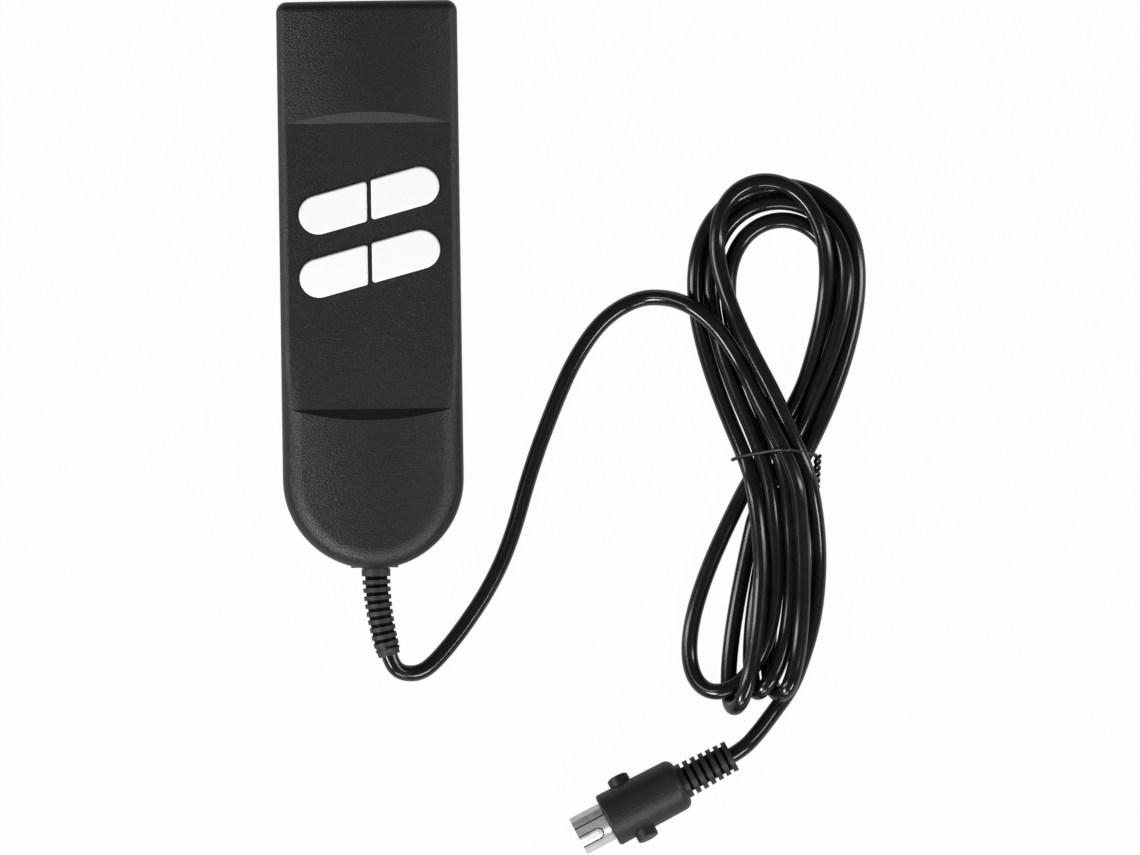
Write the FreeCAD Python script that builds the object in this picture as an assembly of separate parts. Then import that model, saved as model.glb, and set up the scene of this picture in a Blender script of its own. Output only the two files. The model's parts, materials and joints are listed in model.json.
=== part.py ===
"""Four-key hand control on a flexible cord with a round five-pin plug.

Millimetres, +Z up out of the key face.  The housing lies on its back, its
plain end towards +Y and its cord end towards -Y.  The origin is the centre of
the housing's footprint, on the surface that it lies on.
"""
import FreeCAD
import Part

import math
import os

from FreeCAD import Vector

# ---- housing ---------------------------------------------------------------
HOUSING_WIDTH = 60.0
HOUSING_LENGTH = 188.6
TOP_CORNER_RADIUS = 3.5
LEAST_CORNER_RADIUS = 0.6
WALL = 2.2
PARTING_HEIGHT = 12.0
PANEL_HEIGHT = 22.0
CROWN_RISE = 3.0
CROWN_EDGE_MARGIN = 3.0
FACE_EDGE_RADIUS = 3.4
BACK_EDGE_RADIUS = 4.0
PANEL_TOP_MARGIN = 40.6
PANEL_BOTTOM_MARGIN = 53.1
PANEL_WALL_RUN = 3.7
PANEL_INNER_SHIFT = 1.5
LIP_THICKNESS = 1.0
LIP_HEIGHT = 1.5
LIP_CLEARANCE = 0.15
CORD_BOSS_WIDTH = 15.6
CORD_BOSS_HEIGHT = 13.0
CORD_BOSS_SETBACK = 0.4
CORD_BOSS_DEPTH = 5.0

# ---- housing screws --------------------------------------------------------
SCREW_THREAD = 2.6
SCREW_LENGTH = 10.0
SCREW_HEAD = 5.0
SCREW_HEAD_HEIGHT = 2.0
SCREW_SEAT_HEIGHT = 6.5
SCREW_SIDE_MARGIN_TOP = 9.5
SCREW_SIDE_MARGIN_BOTTOM = 13.5
SCREW_TOP_MARGIN = 12.0
SCREW_BOTTOM_MARGIN = 24.0
BOSS_WALL = 1.6
POST_WALL = 1.9
HOLE_CLEARANCE = 0.2
THREAD_CLEARANCE = 0.03
SCREW_TIP_CLEARANCE = 0.5
DRIVE_SLOT_WIDTH = 0.8
DRIVE_SLOT_DEPTH = 1.0
DRIVE_SLOT_REACH_SHARE = 0.4
DRIVE_SLOT_DEPTH_SHARE = 0.6

# ---- keys ------------------------------------------------------------------
KEY_SIDE_MARGIN = 6.0
KEY_WIDTH = 13.0
KEY_TILT_DEG = 15.0
KEY_ROW_PITCH = 21.0
KEY_ROWS_FROM_PANEL_TOP = 25.7
KEY_PROUD = 1.0
KEY_GAP = 0.3
KEY_DIVIDER = 0.8
KEY_CORNER_RADIUS = 1.0
KEY_TOP_RADIUS = 0.7
KEY_WALL = 1.5
KEY_TOP_THICKNESS = 1.7
KEY_FLANGE_REACH = 1.0
KEY_FLANGE_THICKNESS = 1.1
KEY_FLANGE_CLEARANCE = 0.1
KEY_FLANGE_SPLIT = 0.5
KEY_STEM_DIAMETER = 4.4
KEY_STEM_REACH = 0.8
KEY_TRAVEL = 0.6

# ---- circuit board and switches --------------------------------------------
BOARD_THICKNESS = 1.6
BOARD_SIDE_CLEARANCE = 5.0
BOARD_TOP_CLEARANCE = 3.0
BOARD_BOTTOM_REACH = 21.5
BOARD_HOLE_MARGIN = 4.0
BOARD_SCREW_THREAD = 2.2
BOARD_SCREW_HEAD = 4.2
BOARD_SCREW_HEAD_HEIGHT = 1.4
BOARD_SCREW_LENGTH = 6.5
BOARD_POST_DIAMETER = 5.6
BOARD_SCREW_TIP_CLEARANCE = 0.3
SWITCH_SIDE = 6.0
SWITCH_HEIGHT = 3.4
SWITCH_WELL = 3.9
SWITCH_FLOOR = 1.0
SWITCH_COVER_THICKNESS = 0.3
PLUNGER_DIAMETER = 3.5
PLUNGER_LENGTH = 2.8
PLUNGER_END_CLEARANCE = 0.2
DOME_DIAMETER = 3.6
DOME_RISE = 0.35
DOME_THICKNESS = 0.12
LEG_DIAMETER = 0.7
LEG_LENGTH = 1.9
LEG_SPREAD_X = 3.25
LEG_SPREAD_Y = 2.25
LEG_CLEARANCE = 0.1

# ---- board connector and conductors ----------------------------------------
HEADER_WIDTH = 14.6
HEADER_DEPTH = 7.0
HEADER_HEIGHT = 5.8
HEADER_WALL = 0.8
HEADER_EDGE_MARGIN = 4.0
CONNECTOR_LENGTH = 9.5
CONNECTOR_CLEARANCE = 0.1
CONDUCTOR_COUNT = 5
CONDUCTOR_DIAMETER = 1.3
CONDUCTOR_PITCH = 2.4
CONDUCTOR_LAY_RADIUS = 1.5
CONDUCTOR_BEND = 8.0
CONDUCTOR_SOCKET = 3.0
CONDUCTOR_LAY_DEG = (198.0, 126.0, 270.0, 54.0, -18.0)
CONDUCTOR_STRAIGHT_SHARE = 0.12
CONDUCTOR_FAN_SHARE = 0.72

# ---- cord and strain relief ------------------------------------------------
CORD_DIAMETER = 5.4
CORD_INSIDE_LENGTH = 14.0
RELIEF_START_X = 0.4
RELIEF_END = (4.0, -28.7, -1.4)
RELIEF_BOW = (-1.0, 0.0, 0.35)
RELIEF_COLLAR_DIAMETER = 9.6
RELIEF_COLLAR_LENGTH = 2.5
RELIEF_CORE_DIAMETER = 7.4
RELIEF_RING_COUNT = 9
RELIEF_RING_PITCH = 2.6
RELIEF_RING_WIDTH = 1.4
RELIEF_FIRST_RING = 9.3
RELIEF_LAST_RING = 8.4
RELIEF_NOSE_LENGTH = 2.2
RELIEF_NOSE_DIAMETER = 6.6
RELIEF_NECK_DIAMETER = 8.8
RELIEF_FLANGE_SIDE = 13.0
RELIEF_FLANGE_THICKNESS = 1.8
RELIEF_CLEARANCE = 0.1
RELIEF_OVERRUN = 0.6
CORD_BORE_CLEARANCE = 0.05
CABLE_TIE_WIDTH = 3.0
CABLE_TIE_THICKNESS = 1.2
CABLE_TIE_HEAD = 4.0
CABLE_TIE_HEAD_OVERHANG = 0.4
CABLE_TIE_SETBACK = 5.0

# Free cord from the relief's nose to the hank: a limp lead laid by hand.
LEAD_ROUTE = (
    (4.4, -123.0, 10.6),
    (5.45, -126.74, 10.23),
    (8.9, -129.4, 8.8),
    (15.0, -129.3, 7.2),
    (20.6, -124.7, 5.6),
    (28.6, -115.1, 4.0),
    (38.2, -101.2, 2.9),
    (45.6, -85.4, 2.7),
    (52.4, -61.6, 2.7),
    (60.9, -39.6, 2.7),
    (68.0, -24.4, 2.7),
    (77.4, -11.8, 2.7),
    (89.0, -5.3, 3.4),
    (101.0, -5.0, 7.0),
    (112.5, -11.5, 9.4),
)
# Free cord from the hank to the plug's relief.
TAIL_ROUTE = (
    (140.6, -130.0, 2.8),
    (137.4, -137.0, 2.7),
    (132.4, -143.6, 3.4),
    (126.6, -151.0, 6.8),
    (121.8, -156.0, 9.0),
    (118.1, -158.1, 9.25),
)

# ---- hank: outer shape of the tied turns -----------------------------------
HANK_HEIGHT = 17.0
HANK_OUTLINE = (
    (104.6, -1.0),
    (107.0, 14.0),
    (116.0, 27.4),
    (132.0, 36.0),
    (147.6, 27.6),
    (159.0, 12.0),
    (163.6, -6.0),
    (158.6, -31.0),
    (147.0, -56.0),
    (149.0, -88.0),
    (147.0, -118.0),
    (138.0, -142.0),
    (120.4, -145.4),
    (105.0, -136.6),
    (100.8, -116.0),
    (110.0, -84.0),
    (122.4, -57.6),
    (109.0, -27.0),
)
HANK_OPENING = (
    (119.8, -4.0),
    (126.6, 13.0),
    (138.6, 18.4),
    (148.4, 9.0),
    (149.0, -12.0),
    (138.6, -39.0),
    (127.6, -22.0),
)

# ---- twist tie -------------------------------------------------------------
TIE_DIAMETER = 2.0
TIE_Y = -56.6
TIE_LEFT_X = 122.6
TIE_RIGHT_X = 147.0
TIE_CORNER = 6.0
TIE_TAIL_DIAMETER = 2.8
TIE_TAIL_ROUTE = ((147.2, -57.4, 9.0), (148.6, -62.0, 8.2), (149.6, -69.5, 6.6))

# ---- plug ------------------------------------------------------------------
PLUG_MOUTH_X = 66.4
PLUG_MOUTH_Y = -184.4
PLUG_HEADING_DEG = 27.0
PLUG_ROLL_DEG = -12.0
PLUG_SHELL_DIAMETER = 13.2
PLUG_SHELL_WALL = 0.5
PLUG_SHELL_EXPOSED = 11.0
PLUG_SHELL_SEATED = 3.5
PLUG_NECK_DIAMETER = 12.8
PLUG_NECK_SETBACK = 0.2
PLUG_BODY_LENGTH = 28.0
PLUG_FRONT_DIAMETER = 18.5
PLUG_REAR_DIAMETER = 17.7
PLUG_FRONT_RADIUS = 1.0
PLUG_SHOULDER_RADIUS = 3.0
PLUG_CAVITY_DIAMETER = 11.6
PLUG_CAVITY_LENGTH = 12.0
LUG_DIAMETER = 7.3
LUG_SPAN = 23.5
LUG_SETBACK = 9.5
LUG_EDGE_RADIUS = 0.7
PLUG_RELIEF_LENGTH = 18.7
PLUG_RELIEF_CORE = 8.6
PLUG_CORE_SUNK = 4.0
PLUG_RING_COUNT = 6
PLUG_RING_WIDTH = 1.7
PLUG_FIRST_RING = 12.0
PLUG_LAST_RING = 10.7
PLUG_LAY_RADIUS = 1.8
INSERT_FACE_DEPTH = 8.5
INSERT_CLEARANCE = 0.05
PIN_COUNT = 5
PIN_DIAMETER = 1.45
PIN_CIRCLE = 8.9
PIN_ARC_DEG = 180.0
PIN_TIP_DEPTH = 1.2
PIN_TAIL = 3.0
PIN_TIP_RADIUS = 0.43

# ---- modelling aids --------------------------------------------------------
CUT_MARGIN = 1.0
SAME_PLACE = 0.01
BEND_SHARE = 0.45
VOLUME_TOLERANCE = 0.01

# ---- worked-out places -----------------------------------------------------
HALF_WIDTH = HOUSING_WIDTH / 2.0
HALF_LENGTH = HOUSING_LENGTH / 2.0
END_CENTRE_Y = HALF_WIDTH - HALF_LENGTH
PANEL_TOP_Y = HALF_LENGTH - PANEL_TOP_MARGIN
PANEL_BOTTOM_Y = PANEL_BOTTOM_MARGIN - HALF_LENGTH
CROWN_TOP = PANEL_HEIGHT + CROWN_RISE
CROWN_HALF_CHORD = HALF_WIDTH - CROWN_EDGE_MARGIN
CROWN_RADIUS = (CROWN_HALF_CHORD ** 2 + CROWN_RISE ** 2) / (2.0 * CROWN_RISE)
UPPER_ROW_Y = PANEL_TOP_Y - KEY_ROWS_FROM_PANEL_TOP
LOWER_ROW_Y = UPPER_ROW_Y - KEY_ROW_PITCH
KEY_ROW_LENGTH = HOUSING_WIDTH - 2.0 * KEY_SIDE_MARGIN
PANEL_UNDERSIDE = PANEL_HEIGHT - WALL
FLANGE_TOP = PANEL_UNDERSIDE - KEY_FLANGE_CLEARANCE
FLANGE_BOTTOM = FLANGE_TOP - KEY_FLANGE_THICKNESS
PLUNGER_TOP = FLANGE_BOTTOM - KEY_STEM_REACH
SWITCH_TOP = PLUNGER_TOP - PLUNGER_END_CLEARANCE - KEY_TRAVEL
BOARD_TOP = SWITCH_TOP - SWITCH_COVER_THICKNESS - SWITCH_HEIGHT
BOARD_BOTTOM = BOARD_TOP - BOARD_THICKNESS
BOARD_HALF_WIDTH = HALF_WIDTH - WALL - BOARD_SIDE_CLEARANCE
BOARD_TOP_Y = PANEL_TOP_Y - BOARD_TOP_CLEARANCE
BOARD_BOTTOM_Y = LOWER_ROW_Y - BOARD_BOTTOM_REACH
CORD_AXIS_Z = PARTING_HEIGHT
CORD_RADIUS = CORD_DIAMETER / 2.0
PLUG_AXIS_Z = PLUG_FRONT_DIAMETER / 2.0
Z_AXIS = Vector(0, 0, 1)


def export(name, shape):
    """Write one node and refuse a shape that is broken or empty."""
    if not shape.Solids or not shape.isValid():
        raise RuntimeError("bad shape: " + name)
    shape.exportStep("parts/" + name + ".step")
    print(name, len(shape.Solids), round(shape.Volume, 1))


def box(x0, x1, y0, y1, z0, z1):
    """Box between two corners."""
    return Part.makeBox(x1 - x0, y1 - y0, z1 - z0, Vector(x0, y0, z0))


def rod(diameter, z0, z1, x=0.0, y=0.0):
    """Upright cylinder from z0 to z1."""
    return Part.makeCylinder(diameter / 2.0, z1 - z0, Vector(x, y, z0), Z_AXIS)


def group(solids):
    """Several separate solids as one node."""
    return Part.makeCompound(list(solids))


def outline_face(inset, z):
    """Footprint of the housing, moved in by inset: square end, round cord end."""
    half = HALF_WIDTH - inset
    top = HALF_LENGTH - inset
    corner = max(TOP_CORNER_RADIUS - inset, LEAST_CORNER_RADIUS)
    slant = corner * (1.0 - math.sqrt(0.5))
    right = Part.LineSegment(Vector(half, END_CENTRE_Y, z), Vector(half, top - corner, z))
    turn_right = Part.Arc(
        Vector(half, top - corner, z),
        Vector(half - slant, top - slant, z),
        Vector(half - corner, top, z),
    )
    end = Part.LineSegment(Vector(half - corner, top, z), Vector(corner - half, top, z))
    turn_left = Part.Arc(
        Vector(corner - half, top, z),
        Vector(slant - half, top - slant, z),
        Vector(-half, top - corner, z),
    )
    left = Part.LineSegment(Vector(-half, top - corner, z), Vector(-half, END_CENTRE_Y, z))
    round_end = Part.Arc(
        Vector(-half, END_CENTRE_Y, z),
        Vector(0, END_CENTRE_Y - half, z),
        Vector(half, END_CENTRE_Y, z),
    )
    edges = [curve.toShape() for curve in (right, turn_right, end, turn_left, left, round_end)]
    return Part.Face(Part.Wire(edges))


def crown_body(inset):
    """Long block under the crown's arc, which runs the length of the housing."""
    radius = CROWN_RADIUS - inset
    top = CROWN_TOP - inset
    reach = HALF_WIDTH + CUT_MARGIN
    side = top - (radius - math.sqrt(radius ** 2 - reach ** 2))
    start = -HALF_LENGTH - CUT_MARGIN
    low = -CUT_MARGIN
    arc = Part.Arc(Vector(-reach, start, side), Vector(0, start, top), Vector(reach, start, side))
    right = Part.LineSegment(Vector(reach, start, side), Vector(reach, start, low))
    base = Part.LineSegment(Vector(reach, start, low), Vector(-reach, start, low))
    left = Part.LineSegment(Vector(-reach, start, low), Vector(-reach, start, side))
    wire = Part.Wire([curve.toShape() for curve in (arc, right, base, left)])
    return Part.Face(wire).extrude(Vector(0, HOUSING_LENGTH + 2.0 * CUT_MARGIN, 0))


def panel_cutter(inset):
    """Block that lowers the middle of the crown to the flat key panel."""
    level = PANEL_HEIGHT - inset
    shift = PANEL_INNER_SHIFT * inset / WALL
    low_y = PANEL_BOTTOM_Y - shift
    high_y = PANEL_TOP_Y + shift
    run = 2.0 * PANEL_WALL_RUN
    top = level + 2.0 * CROWN_RISE
    side = -HOUSING_WIDTH
    corners = [
        Vector(side, low_y, level),
        Vector(side, high_y, level),
        Vector(side, high_y + run, top),
        Vector(side, low_y - run, top),
        Vector(side, low_y, level),
    ]
    return Part.Face(Part.makePolygon(corners)).extrude(Vector(2.0 * HOUSING_WIDTH, 0, 0))


def top_face_edges(shape):
    """Edges round the highest face."""
    highest = max(shape.Faces, key=lambda face: face.CenterOfMass.z)
    return highest.OuterWire.Edges


def bottom_face_edges(shape):
    """Edges round the lowest face."""
    lowest = min(shape.Faces, key=lambda face: face.CenterOfMass.z)
    return lowest.OuterWire.Edges


def outer_front():
    """Outside of the front shell, crowned, rounded and with its panel lowered."""
    block = outline_face(0.0, PARTING_HEIGHT).extrude(Vector(0, 0, CROWN_TOP))
    block = block.common(crown_body(0.0))
    block = block.makeFillet(FACE_EDGE_RADIUS, top_face_edges(block))
    return block.cut(panel_cutter(0.0))


def outer_rear():
    """Outside of the rear shell, flat with a rounded rim."""
    block = outline_face(0.0, 0.0).extrude(Vector(0, 0, PARTING_HEIGHT))
    return block.makeFillet(BACK_EDGE_RADIUS, bottom_face_edges(block))


def cavity():
    """Room inside the two shells."""
    block = outline_face(WALL, WALL).extrude(Vector(0, 0, CROWN_TOP))
    block = block.common(crown_body(WALL))
    return block.cut(panel_cutter(WALL))


def lip_ring(clearance):
    """Tongue of the rear shell, or the rebate that takes it."""
    outer = outline_face(WALL - LIP_THICKNESS - clearance, PARTING_HEIGHT)
    inner = outline_face(WALL + clearance, PARTING_HEIGHT)
    return outer.cut(inner).extrude(Vector(0, 0, LIP_HEIGHT + clearance))


def cord_boss():
    """Flat-ended boss round the cord's exit, as its rear half and front half."""
    front = CORD_BOSS_SETBACK - HALF_LENGTH
    reach = CORD_BOSS_HEIGHT / 2.0
    half = CORD_BOSS_WIDTH / 2.0
    rear_half = box(-half, half, front, front + CORD_BOSS_DEPTH, PARTING_HEIGHT - reach, PARTING_HEIGHT)
    front_half = box(-half, half, front, front + CORD_BOSS_DEPTH, PARTING_HEIGHT, PARTING_HEIGHT + reach)
    return rear_half, front_half


def relief_port(clearance):
    """Neck of the strain relief, or the hole in the end wall that holds it."""
    radius = RELIEF_NECK_DIAMETER / 2.0 + clearance
    start = Vector(RELIEF_START_X, -HALF_LENGTH - CUT_MARGIN, CORD_AXIS_Z)
    length = CORD_BOSS_SETBACK + CORD_BOSS_DEPTH + 2.0 * CUT_MARGIN
    return Part.makeCylinder(radius, length, start, Vector(0, 1, 0))


def housing_screw_places():
    """Centres of the four housing screws."""
    top_x = HALF_WIDTH - SCREW_SIDE_MARGIN_TOP
    bottom_x = HALF_WIDTH - SCREW_SIDE_MARGIN_BOTTOM
    top_y = HALF_LENGTH - SCREW_TOP_MARGIN
    bottom_y = SCREW_BOTTOM_MARGIN - HALF_LENGTH
    return [(-top_x, top_y), (top_x, top_y), (-bottom_x, bottom_y), (bottom_x, bottom_y)]


def board_screw_places():
    """Centres of the four board screws, near the board's corners."""
    x = BOARD_HALF_WIDTH - BOARD_HOLE_MARGIN
    low_y = BOARD_BOTTOM_Y + BOARD_HOLE_MARGIN
    high_y = BOARD_TOP_Y - BOARD_HOLE_MARGIN
    return [(-x, low_y), (x, low_y), (-x, high_y), (x, high_y)]


def key_places():
    """Name, side and row height of each key."""
    return [
        ("upper_left", -1, UPPER_ROW_Y),
        ("upper_right", 1, UPPER_ROW_Y),
        ("lower_left", -1, LOWER_ROW_Y),
        ("lower_right", 1, LOWER_ROW_Y),
    ]


def key_centre(side, row_y):
    """Middle of one key, on its row's slanted centre line."""
    reach = KEY_ROW_LENGTH / 4.0
    tilt = math.radians(KEY_TILT_DEG)
    return side * reach * math.cos(tilt), row_y + side * reach * math.sin(tilt)


def stadium_face(row_y, growth, z):
    """Slanted round-ended outline of a whole key row, grown on all sides."""
    radius = KEY_WIDTH / 2.0 + growth
    reach = KEY_ROW_LENGTH / 2.0 - KEY_WIDTH / 2.0
    edges = [
        Part.LineSegment(Vector(-reach, -radius, 0), Vector(reach, -radius, 0)),
        Part.Arc(Vector(reach, -radius, 0), Vector(reach + radius, 0, 0), Vector(reach, radius, 0)),
        Part.LineSegment(Vector(reach, radius, 0), Vector(-reach, radius, 0)),
        Part.Arc(Vector(-reach, radius, 0), Vector(-reach - radius, 0, 0), Vector(-reach, -radius, 0)),
    ]
    face = Part.Face(Part.Wire([edge.toShape() for edge in edges]))
    face.rotate(Vector(0, 0, 0), Z_AXIS, KEY_TILT_DEG)
    face.translate(Vector(0, row_y, z))
    return face


def key_block(side, row_y, growth, split, z0, z1):
    """Half of a key row as a block, its cut end at split from the middle."""
    whole = stadium_face(row_y, growth, z0).extrude(Vector(0, 0, z1 - z0))
    far = HOUSING_WIDTH
    if side > 0:
        half = box(split, far, -HOUSING_LENGTH, HOUSING_LENGTH, z0 - CUT_MARGIN, z1 + CUT_MARGIN)
    else:
        half = box(-far, -split, -HOUSING_LENGTH, HOUSING_LENGTH, z0 - CUT_MARGIN, z1 + CUT_MARGIN)
    return whole.common(half)


def round_split_corners(block, side, split, radius):
    """Round the two upright edges at a key's cut end."""
    upright = []
    for edge in block.Edges:
        start = edge.Vertexes[0].Point
        end = edge.Vertexes[-1].Point
        flat_run = math.hypot(start.x - end.x, start.y - end.y)
        off_split = max(abs(start.x - side * split), abs(end.x - side * split))
        if off_split < SAME_PLACE and flat_run < SAME_PLACE:
            upright.append(edge)
    return block.makeFillet(radius, upright)


def make_key(side, row_y):
    """One key cap: hollow, with a holding flange and a stem to its plunger."""
    split = KEY_DIVIDER / 2.0 + KEY_GAP
    top = PANEL_HEIGHT + KEY_PROUD
    cap = key_block(side, row_y, 0.0, split, FLANGE_BOTTOM, top)
    cap = round_split_corners(cap, side, split, KEY_CORNER_RADIUS)
    cap = cap.makeFillet(KEY_TOP_RADIUS, top_face_edges(cap))
    flange = key_block(side, row_y, KEY_FLANGE_REACH, KEY_FLANGE_SPLIT / 2.0, FLANGE_BOTTOM, FLANGE_TOP)
    hollow = key_block(side, row_y, -KEY_WALL, split + KEY_WALL, FLANGE_BOTTOM, top - KEY_TOP_THICKNESS)
    x, y = key_centre(side, row_y)
    stem = rod(KEY_STEM_DIAMETER, PLUNGER_TOP, top - KEY_TOP_THICKNESS, x, y)
    return cap.fuse(flange).cut(hollow).fuse(stem).removeSplitter()


def make_front_shell():
    """Front shell: key openings, screw posts, board posts and lip rebate."""
    shell = outer_front().fuse(cord_boss()[1])
    room = cavity()
    shell = shell.cut(room)
    posts = []
    bores = []
    for x, y in housing_screw_places():
        post = rod(SCREW_THREAD + 2.0 * POST_WALL, PARTING_HEIGHT, CROWN_TOP, x, y)
        posts.append(post.common(room))
        bores.append(rod(SCREW_THREAD + 2.0 * THREAD_CLEARANCE, PARTING_HEIGHT,
                         SCREW_SEAT_HEIGHT + SCREW_LENGTH + SCREW_TIP_CLEARANCE, x, y))
    for x, y in board_screw_places():
        post = rod(BOARD_POST_DIAMETER, BOARD_TOP, PANEL_HEIGHT, x, y)
        posts.append(post.common(room))
        bores.append(rod(BOARD_SCREW_THREAD + 2.0 * THREAD_CLEARANCE, BOARD_TOP,
                         BOARD_BOTTOM + BOARD_SCREW_LENGTH + BOARD_SCREW_TIP_CLEARANCE, x, y))
    shell = shell.fuse(posts).cut(bores)
    for _, side, row_y in key_places():
        opening = key_block(side, row_y, KEY_GAP, KEY_DIVIDER / 2.0, PANEL_UNDERSIDE - CUT_MARGIN, CROWN_TOP)
        opening = round_split_corners(opening, side, KEY_DIVIDER / 2.0, KEY_CORNER_RADIUS)
        shell = shell.cut(opening)
    shell = shell.cut(lip_ring(LIP_CLEARANCE))
    return shell.cut(relief_port(RELIEF_CLEARANCE)).removeSplitter()


def make_rear_shell():
    """Rear shell: flat back, screw bosses with sunk seats, and the lip."""
    shell = outer_rear().fuse(cord_boss()[0])
    room = cavity()
    shell = shell.cut(room)
    bosses = []
    holes = []
    seat = SCREW_HEAD + 2.0 * HOLE_CLEARANCE
    for x, y in housing_screw_places():
        boss = rod(seat + 2.0 * BOSS_WALL, 0.0, PARTING_HEIGHT, x, y)
        bosses.append(boss.common(room))
        holes.append(rod(seat, -CUT_MARGIN, SCREW_SEAT_HEIGHT, x, y))
        holes.append(rod(SCREW_THREAD + 2.0 * HOLE_CLEARANCE, 0.0, PARTING_HEIGHT + CUT_MARGIN, x, y))
    shell = shell.fuse(bosses).cut(holes)
    shell = shell.fuse(lip_ring(0.0))
    return shell.cut(relief_port(RELIEF_CLEARANCE)).removeSplitter()


def screw(x, y, seat_z, head, head_height, thread, length):
    """Pan-head screw driven upwards from below, with a cross-shaped recess."""
    bottom = seat_z - head_height
    body = rod(head, bottom, seat_z, x, y).fuse(rod(thread, seat_z, seat_z + length, x, y))
    half = DRIVE_SLOT_WIDTH / 2.0
    reach = DRIVE_SLOT_REACH_SHARE * head
    top = bottom + min(DRIVE_SLOT_DEPTH, DRIVE_SLOT_DEPTH_SHARE * head_height)
    slot = box(x - half, x + half, y - reach, y + reach, bottom, top)
    cross = box(x - reach, x + reach, y - half, y + half, bottom, top)
    return body.cut(slot).cut(cross)


def make_board():
    """Circuit board with its screw holes and the holes for the switch legs."""
    board = box(-BOARD_HALF_WIDTH, BOARD_HALF_WIDTH, BOARD_BOTTOM_Y, BOARD_TOP_Y, BOARD_BOTTOM, BOARD_TOP)
    low = BOARD_BOTTOM - CUT_MARGIN
    high = BOARD_TOP + CUT_MARGIN
    holes = []
    for x, y in board_screw_places():
        holes.append(rod(BOARD_SCREW_THREAD + 2.0 * HOLE_CLEARANCE, low, high, x, y))
    for x, y in leg_places():
        holes.append(rod(LEG_DIAMETER + 2.0 * LEG_CLEARANCE, low, high, x, y))
    return board.cut(holes)


def leg_places():
    """Centres of the switches' legs."""
    places = []
    for _, side, row_y in key_places():
        x, y = key_centre(side, row_y)
        for dx in (-LEG_SPREAD_X, LEG_SPREAD_X):
            for dy in (-LEG_SPREAD_Y, LEG_SPREAD_Y):
                places.append((x + dx, y + dy))
    return places


def make_switch_body(x, y):
    """Square switch body with a round well for the plunger."""
    half = SWITCH_SIDE / 2.0
    body = box(x - half, x + half, y - half, y + half, BOARD_TOP, BOARD_TOP + SWITCH_HEIGHT)
    return body.cut(rod(SWITCH_WELL, BOARD_TOP + SWITCH_FLOOR, SWITCH_TOP, x, y))


def make_switch_cover(x, y):
    """Thin steel plate over a switch body."""
    half = SWITCH_SIDE / 2.0
    low = BOARD_TOP + SWITCH_HEIGHT
    plate = box(x - half, x + half, y - half, y + half, low, low + SWITCH_COVER_THICKNESS)
    return plate.cut(rod(SWITCH_WELL, low - CUT_MARGIN, low + CUT_MARGIN, x, y))


def make_plunger(x, y):
    """Round plunger under a key's stem."""
    return rod(PLUNGER_DIAMETER, PLUNGER_TOP - PLUNGER_LENGTH, PLUNGER_TOP, x, y)


def make_dome(x, y):
    """Thin sprung disc at the bottom of a switch's well."""
    half = DOME_DIAMETER / 2.0
    radius = (half ** 2 + DOME_RISE ** 2) / (2.0 * DOME_RISE)
    seat = BOARD_TOP + SWITCH_FLOOR
    centre = Vector(x, y, seat + DOME_RISE - radius)
    outer = Part.makeSphere(radius + DOME_THICKNESS, centre)
    inner = Part.makeSphere(radius, centre)
    keep = rod(DOME_DIAMETER, seat, SWITCH_TOP, x, y)
    return outer.cut(inner).common(keep)


def rounded_path(points, limit=None):
    """Straight runs joined by tangent arcs; returns the wire and the radii."""
    nodes = [Vector(*point) for point in points]
    edges = []
    radii = []
    start = nodes[0]
    for index in range(1, len(nodes) - 1):
        before = (nodes[index - 1] - nodes[index])
        after = (nodes[index + 1] - nodes[index])
        shorter = min(before.Length, after.Length)
        before.normalize()
        after.normalize()
        turn = math.pi - before.getAngle(after)
        radius = BEND_SHARE * shorter / math.tan(turn / 2.0)
        if limit:
            radius = min(radius, limit)
        cutback = radius * math.tan(turn / 2.0)
        first = nodes[index] + before * cutback
        last = nodes[index] + after * cutback
        inward = before + after
        inward.normalize()
        middle = nodes[index] + inward * (radius / math.cos(turn / 2.0) - radius)
        edges.append(Part.LineSegment(start, first).toShape())
        edges.append(Part.Arc(first, middle, last).toShape())
        radii.append(radius)
        start = last
    edges.append(Part.LineSegment(start, nodes[-1]).toShape())
    return Part.Wire(edges), radii


def tube(points, diameter, limit=None):
    """Round bar along a rounded path."""
    path, radii = rounded_path(points, limit)
    heading = Vector(*points[1]) - Vector(*points[0])
    ring = Part.Wire([Part.makeCircle(diameter / 2.0, Vector(*points[0]), heading)])
    solid = path.makePipeShell([ring], True, False)
    expected = math.pi * diameter ** 2 / 4.0 * path.Length
    if abs(solid.Volume - expected) > VOLUME_TOLERANCE * expected:
        raise RuntimeError("tube volume is off")
    return solid, path.Length, radii


def relief_axis(overrun=0.0):
    """Centre line of the strain relief outside the housing, gently bent."""
    start = Vector(RELIEF_START_X, -HALF_LENGTH, CORD_AXIS_Z)
    end = Vector(RELIEF_END[0] + RELIEF_START_X, RELIEF_END[1] - HALF_LENGTH, RELIEF_END[2] + CORD_AXIS_Z)
    middle = (start + end) * 0.5 + Vector(*RELIEF_BOW)
    arc = Part.Arc(start, middle, end).toShape()
    extra = overrun / arc.Curve.Radius
    return Part.ArcOfCircle(arc.Curve, arc.FirstParameter, arc.LastParameter + extra).toShape()


def bar_through_relief(diameter, inside, overrun):
    """Round bar from inside the housing, straight and then along the relief's bend."""
    bend = relief_axis(overrun)
    inner_end = Vector(RELIEF_START_X, inside - HALF_LENGTH, CORD_AXIS_Z)
    outer_end = bend.valueAt(bend.FirstParameter)
    ring = Part.Wire([Part.makeCircle(diameter / 2.0, inner_end, outer_end - inner_end)])
    path = Part.Wire([Part.LineSegment(inner_end, outer_end).toShape(), bend])
    return path.makePipeShell([ring], True, False)


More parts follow.
